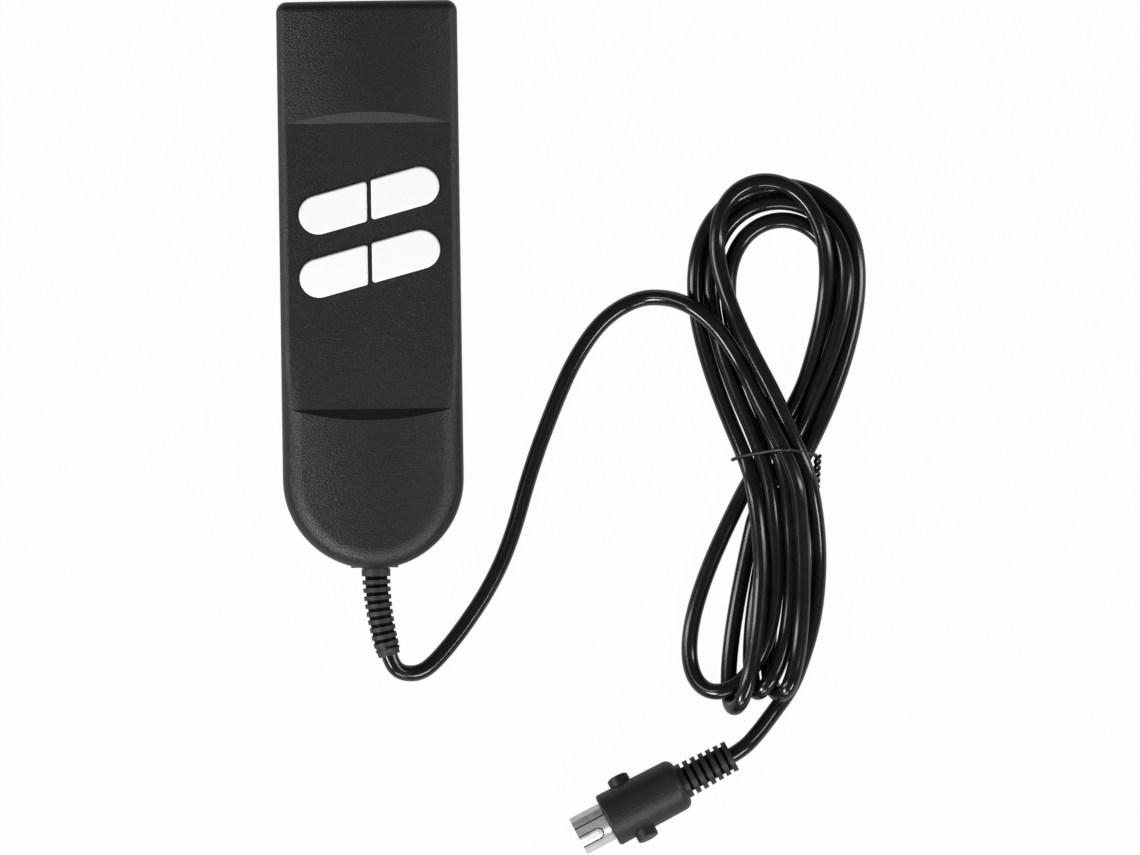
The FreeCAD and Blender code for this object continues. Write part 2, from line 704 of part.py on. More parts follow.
def bent_bar(edge, diameter):
    """Round bar along one arc."""
    heading = edge.tangentAt(edge.FirstParameter)
    ring = Part.Wire([Part.makeCircle(diameter / 2.0, edge.valueAt(edge.FirstParameter), heading)])
    return Part.Wire([edge]).makePipeShell([ring], True, False)


def disc_on(edge, start, width, first_diameter, last_diameter=None):
    """Short cylinder or cone across an arc, at a length along it."""
    parameter = edge.getParameterByLength(start)
    place = edge.valueAt(parameter)
    heading = edge.tangentAt(parameter)
    if last_diameter is None:
        return Part.makeCylinder(first_diameter / 2.0, width, place, heading)
    return Part.makeCone(first_diameter / 2.0, last_diameter / 2.0, width, place, heading)


def make_strain_relief():
    """Flange, neck, collar, bent core, rings and nose, bored for the cord."""
    axis = relief_axis()
    half = RELIEF_FLANGE_SIDE / 2.0
    corner_x = half + RELIEF_START_X
    inner_face = END_CENTRE_Y - math.sqrt((HALF_WIDTH - WALL) ** 2 - corner_x ** 2) + RELIEF_CLEARANCE
    flange = box(RELIEF_START_X - half, RELIEF_START_X + half, inner_face,
                 inner_face + RELIEF_FLANGE_THICKNESS, CORD_AXIS_Z - half, CORD_AXIS_Z + half)
    neck_start = Vector(RELIEF_START_X, -HALF_LENGTH - RELIEF_OVERRUN, CORD_AXIS_Z)
    neck_length = inner_face + RELIEF_FLANGE_THICKNESS / 2.0 - neck_start.y
    neck = Part.makeCylinder(RELIEF_NECK_DIAMETER / 2.0, neck_length, neck_start, Vector(0, 1, 0))
    body = flange.fuse(neck).fuse(bent_bar(axis, RELIEF_CORE_DIAMETER))
    pieces = [disc_on(axis, 0.0, RELIEF_COLLAR_LENGTH, RELIEF_COLLAR_DIAMETER)]
    gap = RELIEF_RING_PITCH - RELIEF_RING_WIDTH
    taper = (RELIEF_FIRST_RING - RELIEF_LAST_RING) / (RELIEF_RING_COUNT - 1)
    for index in range(RELIEF_RING_COUNT):
        start = RELIEF_COLLAR_LENGTH + gap + index * RELIEF_RING_PITCH
        pieces.append(disc_on(axis, start, RELIEF_RING_WIDTH, RELIEF_FIRST_RING - taper * index))
    nose_start = axis.Length - RELIEF_NOSE_LENGTH
    pieces.append(disc_on(axis, nose_start, RELIEF_NOSE_LENGTH, RELIEF_LAST_RING, RELIEF_NOSE_DIAMETER))
    body = body.fuse(pieces)
    bore = bar_through_relief(CORD_DIAMETER + 2.0 * CORD_BORE_CLEARANCE, CORD_INSIDE_LENGTH, RELIEF_OVERRUN)
    return body.cut(bore)


def make_cord_end():
    """Jacket of the cord through the relief and into the housing."""
    return bar_through_relief(CORD_DIAMETER, CORD_INSIDE_LENGTH, 0.0)


def make_cable_tie():
    """Nylon tie drawn tight round the cord's end, inside the housing."""
    start = CORD_INSIDE_LENGTH - HALF_LENGTH - CABLE_TIE_SETBACK
    place = Vector(RELIEF_START_X, start, CORD_AXIS_Z)
    band = Part.makeCylinder(CORD_RADIUS + CABLE_TIE_THICKNESS, CABLE_TIE_WIDTH, place, Vector(0, 1, 0))
    half = CABLE_TIE_HEAD / 2.0
    over = CABLE_TIE_HEAD_OVERHANG
    head = box(RELIEF_START_X - half, RELIEF_START_X + half, start - over, start + CABLE_TIE_WIDTH + over,
               CORD_AXIS_Z - CORD_RADIUS - CABLE_TIE_HEAD, CORD_AXIS_Z)
    bore = Part.makeCylinder(CORD_RADIUS + CORD_BORE_CLEARANCE, CABLE_TIE_WIDTH + 2.0 * CUT_MARGIN,
                             place - Vector(0, CUT_MARGIN, 0), Vector(0, 1, 0))
    return band.fuse(head).cut(bore)


def connector_z():
    """Height of the connector's centre under the board."""
    return BOARD_BOTTOM - HEADER_HEIGHT / 2.0


def conductor_x(index):
    """Place of one conductor across the connector."""
    return (index - (CONDUCTOR_COUNT - 1) / 2.0) * CONDUCTOR_PITCH


def make_header():
    """Open-ended socket under the board."""
    low_y = BOARD_BOTTOM_Y + HEADER_EDGE_MARGIN
    half = HEADER_WIDTH / 2.0
    low = BOARD_BOTTOM - HEADER_HEIGHT
    body = box(-half, half, low_y, low_y + HEADER_DEPTH, low, BOARD_BOTTOM)
    back = low_y + HEADER_DEPTH - HEADER_WALL
    room = box(HEADER_WALL - half, half - HEADER_WALL, low_y - CUT_MARGIN, back,
               low + HEADER_WALL, BOARD_BOTTOM - HEADER_WALL)
    return body.cut(room)


def make_connector():
    """Crimp housing on the conductors, pushed into the header."""
    inset = HEADER_WALL + CONNECTOR_CLEARANCE
    half = HEADER_WIDTH / 2.0 - inset
    end_y = BOARD_BOTTOM_Y + HEADER_EDGE_MARGIN + HEADER_DEPTH - inset
    low = BOARD_BOTTOM - HEADER_HEIGHT + inset
    body = box(-half, half, end_y - CONNECTOR_LENGTH, end_y, low, BOARD_BOTTOM - inset)
    sockets = []
    for index in range(CONDUCTOR_COUNT):
        start = Vector(conductor_x(index), end_y - CONNECTOR_LENGTH - CUT_MARGIN, connector_z())
        sockets.append(Part.makeCylinder(CONDUCTOR_DIAMETER / 2.0 + CONNECTOR_CLEARANCE,
                                         CONDUCTOR_SOCKET + CUT_MARGIN, start, Vector(0, 1, 0)))
    return body.cut(sockets)


def make_conductors():
    """Five insulated conductors from the cord's end to the connector."""
    start_y = CORD_INSIDE_LENGTH - HALF_LENGTH
    end_y = (BOARD_BOTTOM_Y + HEADER_EDGE_MARGIN + HEADER_DEPTH - HEADER_WALL - CONNECTOR_CLEARANCE
             - CONNECTOR_LENGTH + CONDUCTOR_SOCKET)
    free = end_y - start_y
    wires = []
    for index, lay in enumerate(CONDUCTOR_LAY_DEG):
        angle = math.radians(lay)
        x = RELIEF_START_X + CONDUCTOR_LAY_RADIUS * math.cos(angle)
        z = CORD_AXIS_Z + CONDUCTOR_LAY_RADIUS * math.sin(angle)
        far_x = conductor_x(index)
        route = [
            (x, start_y, z),
            (x, start_y + CONDUCTOR_STRAIGHT_SHARE * free, z),
            (far_x, start_y + CONDUCTOR_FAN_SHARE * free, connector_z()),
            (far_x, end_y, connector_z()),
        ]
        wires.append(tube(route, CONDUCTOR_DIAMETER, CONDUCTOR_BEND)[0])
    return group(wires)


def closed_curve(points, z):
    """Face inside a smooth closed curve through hand-laid points."""
    curve = Part.BSplineCurve()
    curve.interpolate([Vector(x, y, z) for x, y in points], PeriodicFlag=True)
    return Part.Face(Part.Wire([curve.toShape()]))


def tie_loop():
    """Wire loop of the twist tie round the hank's waist."""
    radius = TIE_DIAMETER / 2.0
    low = radius
    high = HANK_HEIGHT
    left = TIE_LEFT_X
    right = TIE_RIGHT_X
    slant = TIE_CORNER * (1.0 - math.sqrt(0.5))
    y = TIE_Y
    corners = [
        (Vector(right, y, low + TIE_CORNER), Vector(right, y, high - TIE_CORNER)),
        (Vector(right - TIE_CORNER, y, high), Vector(left + TIE_CORNER, y, high)),
        (Vector(left, y, high - TIE_CORNER), Vector(left, y, low + TIE_CORNER)),
        (Vector(left + TIE_CORNER, y, low), Vector(right - TIE_CORNER, y, low)),
    ]
    middles = [
        Vector(right - slant, y, high - slant),
        Vector(left + slant, y, high - slant),
        Vector(left + slant, y, low + slant),
        Vector(right - slant, y, low + slant),
    ]
    edges = []
    for index, (start, end) in enumerate(corners):
        following = corners[(index + 1) % len(corners)][0]
        edges.append(Part.LineSegment(start, end).toShape())
        edges.append(Part.Arc(end, middles[index], following).toShape())
    return Part.Wire(edges)


def make_tie():
    """Twist tie: a loop and its twisted end."""
    path = tie_loop()
    start = path.Edges[0].valueAt(path.Edges[0].FirstParameter)
    ring = Part.Wire([Part.makeCircle(TIE_DIAMETER / 2.0, start, Z_AXIS)])
    loop = path.makePipeShell([ring], True, False)
    end = tube(TIE_TAIL_ROUTE, TIE_TAIL_DIAMETER)[0]
    return loop.fuse(end)


def make_hank():
    """Outer shape of the tied turns, open in the middle of the upper loops."""
    body = closed_curve(HANK_OUTLINE, 0.0).extrude(Vector(0, 0, HANK_HEIGHT))
    opening = closed_curve(HANK_OPENING, -CUT_MARGIN).extrude(Vector(0, 0, HANK_HEIGHT + 2.0 * CUT_MARGIN))
    return body.cut(opening)


def place_on_plug(shape):
    """Move a piece from the plug's own axis, mouth at x = 0, to where it lies."""
    shape.rotate(Vector(0, 0, 0), Z_AXIS, PLUG_HEADING_DEG)
    shape.translate(Vector(PLUG_MOUTH_X, PLUG_MOUTH_Y, PLUG_AXIS_Z))
    return shape


def barrel(diameter, x0, x1, y=0.0, z=0.0):
    """Cylinder along the plug's axis."""
    return Part.makeCylinder(diameter / 2.0, x1 - x0, Vector(x0, y, z), Vector(1, 0, 0))


def pin_places():
    """Centres of the plug's pins on their circle."""
    places = []
    for index in range(PIN_COUNT):
        angle = math.radians(90.0 + PLUG_ROLL_DEG + PIN_ARC_DEG * (index / (PIN_COUNT - 1.0) - 0.5))
        places.append((PIN_CIRCLE / 2.0 * math.cos(angle), PIN_CIRCLE / 2.0 * math.sin(angle)))
    return places


def make_plug_shell():
    """Plated tube round the pins, with a slimmer neck that seats in the grip."""
    length = PLUG_SHELL_EXPOSED + PLUG_SHELL_SEATED
    neck = PLUG_SHELL_EXPOSED - PLUG_NECK_SETBACK
    outer = barrel(PLUG_SHELL_DIAMETER, 0.0, neck).fuse(barrel(PLUG_NECK_DIAMETER, neck, length))
    bore = barrel(PLUG_SHELL_DIAMETER - 2.0 * PLUG_SHELL_WALL, -CUT_MARGIN, length + CUT_MARGIN)
    return outer.cut(bore)


def pin_rods(growth):
    """The plug's pins, or the holes that hold them."""
    end = PLUG_SHELL_EXPOSED + PLUG_SHELL_SEATED + PIN_TAIL
    return [barrel(PIN_DIAMETER + growth, PIN_TIP_DEPTH, end, y, z) for y, z in pin_places()]


def make_plug_insert():
    """Moulded disc inside the shell that holds the pins."""
    diameter = PLUG_SHELL_DIAMETER - 2.0 * PLUG_SHELL_WALL - 2.0 * INSERT_CLEARANCE
    disc = barrel(diameter, INSERT_FACE_DEPTH, PLUG_SHELL_EXPOSED + PLUG_SHELL_SEATED)
    return disc.cut(pin_rods(2.0 * INSERT_CLEARANCE))


def make_plug_pins():
    """Contact pins with rounded tips."""
    pins = []
    for pin in pin_rods(0.0):
        tip = [edge for edge in pin.Edges if abs(edge.CenterOfMass.x - PIN_TIP_DEPTH) < SAME_PLACE]
        pins.append(pin.makeFillet(PIN_TIP_RADIUS, tip))
    return group(pins)


def make_plug_body():
    """Overmoulded grip with side lugs and a ribbed relief, in one moulding."""
    front = PLUG_SHELL_EXPOSED
    rear = front + PLUG_BODY_LENGTH
    end = rear + PLUG_RELIEF_LENGTH
    body = Part.makeCone(PLUG_FRONT_DIAMETER / 2.0, PLUG_REAR_DIAMETER / 2.0, PLUG_BODY_LENGTH,
                         Vector(front, 0, 0), Vector(1, 0, 0))
    front_edges = [edge for edge in body.Edges if abs(edge.CenterOfMass.x - front) < SAME_PLACE]
    body = body.makeFillet(PLUG_FRONT_RADIUS, front_edges)
    rear_edges = [edge for edge in body.Edges if abs(edge.CenterOfMass.x - rear) < SAME_PLACE]
    body = body.makeFillet(PLUG_SHOULDER_RADIUS, rear_edges)
    roll = math.radians(PLUG_ROLL_DEG)
    across = Vector(0, math.cos(roll), math.sin(roll))
    start = Vector(front + LUG_SETBACK, 0, 0) - across * (LUG_SPAN / 2.0)
    lugs = Part.makeCylinder(LUG_DIAMETER / 2.0, LUG_SPAN, start, across)
    lug_edges = [edge for edge in lugs.Edges if edge.Closed]
    lugs = lugs.makeFillet(LUG_EDGE_RADIUS, lug_edges)
    pieces = [lugs, barrel(PLUG_RELIEF_CORE, rear - PLUG_CORE_SUNK, end)]
    pitch = (PLUG_RELIEF_LENGTH - PLUG_RING_WIDTH) / PLUG_RING_COUNT
    taper = (PLUG_FIRST_RING - PLUG_LAST_RING) / PLUG_RING_COUNT
    for index in range(PLUG_RING_COUNT + 1):
        at = rear + index * pitch
        pieces.append(barrel(PLUG_FIRST_RING - taper * index, at, at + PLUG_RING_WIDTH))
    body = body.fuse(pieces)
    cavity_start = front + PLUG_SHELL_SEATED
    holes = [
        barrel(PLUG_NECK_DIAMETER, front - CUT_MARGIN, cavity_start),
        barrel(PLUG_CAVITY_DIAMETER, cavity_start - CUT_MARGIN, cavity_start + PLUG_CAVITY_LENGTH),
        barrel(CORD_DIAMETER, cavity_start + PLUG_CAVITY_LENGTH - CUT_MARGIN, end + CUT_MARGIN),
    ]
    return body.cut(holes)


def make_plug_cord_end():
    """Jacket of the cord inside the plug's relief."""
    start = PLUG_SHELL_EXPOSED + PLUG_SHELL_SEATED + PLUG_CAVITY_LENGTH
    end = PLUG_SHELL_EXPOSED + PLUG_BODY_LENGTH + PLUG_RELIEF_LENGTH
    return barrel(CORD_DIAMETER, start, end)


def make_plug_conductors():
    """Conductors from the pins' tails to the cord's jacket."""
    first = PLUG_SHELL_EXPOSED + PLUG_SHELL_SEATED + PIN_TAIL
    last = PLUG_SHELL_EXPOSED + PLUG_SHELL_SEATED + PLUG_CAVITY_LENGTH
    share = 2.0 * PLUG_LAY_RADIUS / PIN_CIRCLE
    wires = []
    for y, z in pin_places():
        start = Vector(first, y, z)
        run = Vector(last, y * share, z * share) - start
        wires.append(Part.makeCylinder(CONDUCTOR_DIAMETER / 2.0, run.Length, start, run))
    reach = PLUG_FRONT_DIAMETER / 2.0
    room = box(first, last, -reach, reach, -reach, reach)
    return group([wire.common(room) for wire in wires])


def main():
    """Build every node and write it."""
    os.makedirs("parts", exist_ok=True)
    export("front_shell", make_front_shell())
    export("rear_shell", make_rear_shell())
    covers = []
    for name, side, row_y in key_places():
        x, y = key_centre(side, row_y)
        export("key_" + name, make_key(side, row_y))
        export("switch_body_" + name, make_switch_body(x, y))
        export("switch_plunger_" + name, make_plunger(x, y))
        export("contact_dome_" + name, make_dome(x, y))
        covers.append(make_switch_cover(x, y))
    export("switch_covers", group(covers))
    legs = [rod(LEG_DIAMETER, BOARD_TOP - LEG_LENGTH, BOARD_TOP, x, y) for x, y in leg_places()]
    export("switch_legs", group(legs))
    export("circuit_board", make_board())
    export("housing_screws", group([
        screw(x, y, SCREW_SEAT_HEIGHT, SCREW_HEAD, SCREW_HEAD_HEIGHT, SCREW_THREAD, SCREW_LENGTH)
        for x, y in housing_screw_places()]))
    export("board_screws", group([
        screw(x, y, BOARD_BOTTOM, BOARD_SCREW_HEAD, BOARD_SCREW_HEAD_HEIGHT, BOARD_SCREW_THREAD,
              BOARD_SCREW_LENGTH)
        for x, y in board_screw_places()]))
    export("board_header", make_header())
    export("lead_connector", make_connector())
    export("conductors", make_conductors())
    export("cable_tie", make_cable_tie())
    cord_end = make_cord_end()
    export("cord_end", cord_end)
    export("strain_relief", make_strain_relief())

    tie = make_tie()
    hank = make_hank()
    lead, lead_length, lead_radii = tube(LEAD_ROUTE, CORD_DIAMETER)
    tail, tail_length, tail_radii = tube(TAIL_ROUTE, CORD_DIAMETER)
    print("lead", round(lead_length, 1), [round(radius, 1) for radius in lead_radii])
    print("tail", round(tail_length, 1), [round(radius, 1) for radius in tail_radii])
    export("twist_tie", tie)
    export("cord_hank", hank.cut(tie))
    export("cord_lead", lead.cut(hank).cut(cord_end))
    export("cord_tail", tail.cut(hank))

    export("plug_shell", place_on_plug(make_plug_shell()))
    export("plug_insert", place_on_plug(make_plug_insert()))
    export("plug_pins", place_on_plug(make_plug_pins()))
    export("plug_body", place_on_plug(make_plug_body()))
    export("plug_cord_end", place_on_plug(make_plug_cord_end()))
    export("plug_conductors", place_on_plug(make_plug_conductors()))


main()
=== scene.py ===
"""Looks of a four-key hand control with a tied cord and a round plug.

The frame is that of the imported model: +Z out of the key face, +Y towards the
housing's plain end, the origin under the housing. Routes and shapes are in
millimetres and turned into metres by MM. Grain sizes, grain depths, the lamps
and the camera are in metres.
"""
from __future__ import annotations

import json
import logging
import math
from dataclasses import dataclass, field
from enum import Enum
from typing import Any

import bpy
import numpy as np
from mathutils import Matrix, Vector

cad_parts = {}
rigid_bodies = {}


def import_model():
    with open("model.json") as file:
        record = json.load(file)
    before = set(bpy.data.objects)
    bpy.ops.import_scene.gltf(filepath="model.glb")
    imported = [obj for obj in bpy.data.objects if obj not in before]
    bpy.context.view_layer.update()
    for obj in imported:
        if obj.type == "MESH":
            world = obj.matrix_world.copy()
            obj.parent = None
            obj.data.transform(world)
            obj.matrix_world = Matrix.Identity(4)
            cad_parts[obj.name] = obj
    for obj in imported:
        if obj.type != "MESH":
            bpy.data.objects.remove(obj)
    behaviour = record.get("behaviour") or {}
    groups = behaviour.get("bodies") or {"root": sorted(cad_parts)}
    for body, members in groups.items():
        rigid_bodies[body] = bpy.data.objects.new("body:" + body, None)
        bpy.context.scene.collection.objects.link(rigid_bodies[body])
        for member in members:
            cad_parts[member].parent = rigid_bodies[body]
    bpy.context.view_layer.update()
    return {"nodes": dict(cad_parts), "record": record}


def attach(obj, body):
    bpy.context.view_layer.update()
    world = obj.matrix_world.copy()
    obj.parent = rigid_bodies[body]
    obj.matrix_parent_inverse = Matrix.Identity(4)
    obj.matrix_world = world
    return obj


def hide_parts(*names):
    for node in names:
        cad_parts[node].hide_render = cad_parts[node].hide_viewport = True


for startup_object in list(bpy.data.objects):
    bpy.data.objects.remove(startup_object)
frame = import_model()

log = logging.getLogger("hand_control")

MM = 0.001
WHITE = (1.0, 1.0, 1.0, 1.0)
Triple = tuple[float, float, float]

# Octaves of coarse and of fine noise.
COARSE_DETAIL = 2.0
FINE_DETAIL = 3.0
# Sockets of the Mix node when it mixes colours.
MIX_FACTOR, MIX_FIRST, MIX_SECOND, MIX_RESULT = 0, 6, 7, 2


class Body(Enum):
    """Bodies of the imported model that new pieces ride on."""

    HOUSING = "housing"


class Slot(Enum):
    """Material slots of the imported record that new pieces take."""

    JACKET = "jacket"
    TWIST_TIE = "twist_tie"


# ---- shader building ---------------------------------------------------------


class Signal:
    """A shader socket that takes part in Python expressions."""

    def __init__(self, graph: Graph, socket: bpy.types.NodeSocket) -> None:
        """Wrap a socket.

        Args:
            graph: the graph that holds the socket's node.
            socket: the output socket.
        """
        self.graph = graph
        self.socket = socket

    def _math(self, operation: str, first: Any, second: Any = 0.0) -> Signal:
        """Add one Math node.

        Args:
            operation: the node's operation.
            first: the first value or signal.
            second: the second value or signal.

        Returns:
            The node's output.
        """
        wired = {0: first, 1: second}
        return self.graph.node("ShaderNodeMath", {"operation": operation}, wired)

    def __add__(self, other: Any) -> Signal:
        """Sum of the two."""
        return self._math("ADD", self, other)

    __radd__ = __add__

    def __mul__(self, other: Any) -> Signal:
        """Product of the two."""
        return self._math("MULTIPLY", self, other)

    __rmul__ = __mul__

    def __sub__(self, other: Any) -> Signal:
        """This less the other."""
        return self._math("SUBTRACT", self, other)

    def __rsub__(self, other: Any) -> Signal:
        """The other less this."""
        return self._math("SUBTRACT", other, self)

    def root(self) -> Signal:
        """Square root."""
        return self._math("SQRT", self)

    def absolute(self) -> Signal:
        """Size without its sign."""
        return self._math("ABSOLUTE", self)

    def below(self, limit: float) -> Signal:
        """One where this is under the limit, and zero elsewhere."""
        return self._math("LESS_THAN", self, limit)

    def at_least(self, other: Any) -> Signal:
        """The larger of the two."""
        return self._math("MAXIMUM", self, other)

    def at_most(self, other: Any) -> Signal:
        """The smaller of the two."""
        return self._math("MINIMUM", self, other)


class Graph:
    """Node graph of one material."""

    def __init__(self, name: str) -> None:
        """Start an empty material.

        Args:
            name: the material's name.
        """
        self.material = bpy.data.materials.new(name)
        self.material.use_nodes = True
        self.material.node_tree.nodes.clear()

    def node(
        self,
        kind: str,
        settings: dict[str, Any] | None = None,
        inputs: dict[Any, Any] | None = None,
        output: Any = 0,
    ) -> Signal:
        """Add one node, set it up and link it.

        Args:
            kind: the node's type.
            settings: its properties, set first.
            inputs: values or signals by input name or number.
            output: the output that is returned.

        Returns:
            That output.
        """
        made = self.material.node_tree.nodes.new(kind)
        for name, value in (settings or {}).items():
            setattr(made, name, value)
        for name, value in (inputs or {}).items():
            if isinstance(value, Signal):
                self.material.node_tree.links.new(value.socket, made.inputs[name])
            else:
                made.inputs[name].default_value = value
        return Signal(self, made.outputs[output])

    def place(self) -> Signal:
        """Object coordinates."""
        return self.node("ShaderNodeTexCoord", output="Object")

    def axes(self) -> tuple[Signal, Signal, Signal]:
        """Object coordinates one by one.

        Returns:
            The three of them.
        """
        kind, wired = "ShaderNodeSeparateXYZ", {"Vector": self.place()}
        return tuple(self.node(kind, None, wired, number) for number in range(3))

    def noise(self, size: float, detail: float = COARSE_DETAIL) -> Signal:
        """Noise whose lumps are about one size across.

        Args:
            size: the lumps' size in metres.
            detail: octaves of finer noise.

        Returns:
            The noise, from 0 to 1.
        """
        wired = {"Vector": self.place(), "Scale": 1.0 / size, "Detail": detail}
        return self.node("ShaderNodeTexNoise", None, wired)

    def blend(self, factor: Signal, first: Any, second: Any) -> Signal:
        """Colour between two colours.

        Args:
            factor: 0 for the first and 1 for the second.
            first: the first colour, or a signal.
            second: the second colour, or a signal.

        Returns:
            The colour.
        """
        wired = {MIX_FACTOR: factor, MIX_FIRST: first, MIX_SECOND: second}
        return self.node("ShaderNodeMix", {"data_type": "RGBA"}, wired, MIX_RESULT)

    def bump(
        self,
        height: Signal,
        depth: float,
        strength: float = 1.0,
        under: Signal | None = None,
    ) -> Signal:
        """Normal of a surface with that relief.

        Args:
            height: the relief, where 1 is the full depth.
            depth: the full depth in metres.
            strength: how much of it shows.
            under: the normal that it stands on, or none for the plain surface.

        Returns:
            The normal.
        """
        wired = {"Height": height, "Distance": depth, "Strength": strength}
        if under is not None:
            wired["Normal"] = under
        return self.node("ShaderNodeBump", None, wired)

    def principled(self, constants: dict[str, Any], varying: dict[str, Any]) -> Signal:
        """Add one Principled shader.

        Args:
            constants: values set on the shader's own sockets.
            varying: signals linked to it.

        Returns:
            The shader.
        """
        return self.node("ShaderNodeBsdfPrincipled", None, {**constants, **varying})

    def surface(
        self, constants: dict[str, Any], varying: dict[str, Signal]
    ) -> bpy.types.Material:
        """Finish the material with one Principled shader.

        Args:
            constants: values set on the shader's own sockets.
            varying: signals linked to it.

        Returns:
            The material.
        """
        self.node_output(self.principled(constants, varying))
        return self.material

    def node_output(self, shader: Signal) -> None:
        """Link a shader to the material's output."""
        made = self.material.node_tree.nodes.new("ShaderNodeOutputMaterial")
        self.material.node_tree.links.new(shader.socket, made.inputs["Surface"])


# ---- finishes ----------------------------------------------------------------


def rgba(colour: Triple) -> tuple[float, float, float, float]:
    """Colour with full alpha."""
    return (*colour, 1.0)


@dataclass(frozen=True)
class Moulding:
    """Moulded plastic or rubber with a fine grain."""

    name: str
    colour: Triple
    roughness: float
    grain: float = 0.0004
    grain_depth: float = 0.00002
    variation: float = 0.15
    specular: float = 0.5
    cloud_in_grains: float = 30.0
    grain_swing: float = 0.12
    cloud_swing: float = 0.06
    swing_below: float = 0.09

    def material(self) -> bpy.types.Material:
        """Build the material.

        Returns:
            The material.
        """
        graph = Graph(self.name)
        grain = graph.noise(self.grain, FINE_DETAIL)
        cloud = graph.noise(self.grain * self.cloud_in_grains)
        pale = tuple(min(1.0, part * (1.0 + self.variation)) for part in self.colour)
        dark = tuple(part * (1.0 - self.variation) for part in self.colour)
        swing = grain * self.grain_swing + cloud * self.cloud_swing
        varying = {
            "Base Color": graph.blend(cloud * 0.5 + grain * 0.5, rgba(dark), rgba(pale)),
            "Roughness": swing + (self.roughness - self.swing_below),
            "Normal": graph.bump(grain, self.grain_depth),
        }
        return graph.surface({"Specular IOR Level": self.specular}, varying)


@dataclass(frozen=True)
class SparkedPlastic:
    """Black plastic from a spark-eroded mould, which glints in tiny facets."""

    name: str = "sparked_black_plastic"
    dark: Triple = (0.0075, 0.0075, 0.0076)
    pale: Triple = (0.0165, 0.0165, 0.0167)
    roughness: float = 0.35
    facet: float = 0.0005
    facet_depth: float = 0.00019
    facet_share: float = 0.6
    pit: float = 0.00028
    pit_share: float = 0.6
    pit_swing: float = 0.16
    handled: float = 0.03
    handled_swing: float = 0.10
    swing_below: float = 0.13
    specular: float = 0.45
    half_width: float = 30.0
    foot_centre: float = -64.3
    rounding: float = 7.0
    rounding_depth: float = 2.9
    fade_start: float = -22.0
    fade_length: float = 24.0

    def eased(self, graph: Graph) -> Signal:
        """Round the face over towards the edge of its cord end.

        Args:
            graph: the material's graph.

        Returns:
            The face's normal.
        """
        x, y, _ = graph.axes()
        beyond = (y - self.foot_centre * MM).at_most(0.0)
        inside = self.half_width * MM - (x * x + beyond * beyond).root()
        short = (1.0 - inside * (1.0 / (self.rounding * MM))).at_least(0.0)
        past = self.fade_start * MM - y
        fade = (past * (1.0 / (self.fade_length * MM))).at_least(0.0)
        height = 1.0 - short * short * fade.at_most(1.0)
        return graph.bump(height, self.rounding_depth * MM)

    def material(self) -> bpy.types.Material:
        """Build the material.

        Returns:
            The material.
        """
        graph = Graph(self.name)
        wired = {"Vector": graph.place(), "Scale": 1.0 / self.facet, "Randomness": 1.0}
        facets = graph.node("ShaderNodeTexVoronoi", {"feature": "SMOOTH_F1"}, wired)
        pits = graph.noise(self.pit, FINE_DETAIL)
        relief = facets * self.facet_share + pits * self.pit_share
        handled = graph.noise(self.handled, FINE_DETAIL)
        swing = handled * self.handled_swing + pits * self.pit_swing
        eased = self.eased(graph)
        varying = {
            "Base Color": graph.blend(pits, rgba(self.dark), rgba(self.pale)),
            "Roughness": swing + (self.roughness - self.swing_below),
            "Normal": graph.bump(relief, self.facet_depth, under=eased),
        }
        return graph.surface({"Specular IOR Level": self.specular}, varying)


@dataclass(frozen=True)
class GlossJacket:
    """Flexible black cord jacket: smooth, glossy and slightly uneven."""

    name: str = "gloss_black_jacket"
    colour: Triple = (0.004, 0.004, 0.0041)
    pale: Triple = (0.008, 0.008, 0.0081)
    roughness: float = 0.17
    wave: float = 0.006
    wave_depth: float = 0.00004
    wave_swing: float = 0.08
    dust: float = 0.0006
    dust_swing: float = 0.05
    swing_below: float = 0.06
    specular: float = 0.5

    def material(self) -> bpy.types.Material:
        """Build the material.

        Returns:
            The material.
        """
        graph = Graph(self.name)
        wave = graph.noise(self.wave)
        dust = graph.noise(self.dust, FINE_DETAIL)
        swing = wave * self.wave_swing + dust * self.dust_swing
        varying = {
            "Base Color": graph.blend(wave, rgba(self.colour), rgba(self.pale)),
            "Roughness": swing + (self.roughness - self.swing_below),
            "Normal": graph.bump(wave, self.wave_depth),
        }
        return graph.surface({"Specular IOR Level": self.specular}, varying)


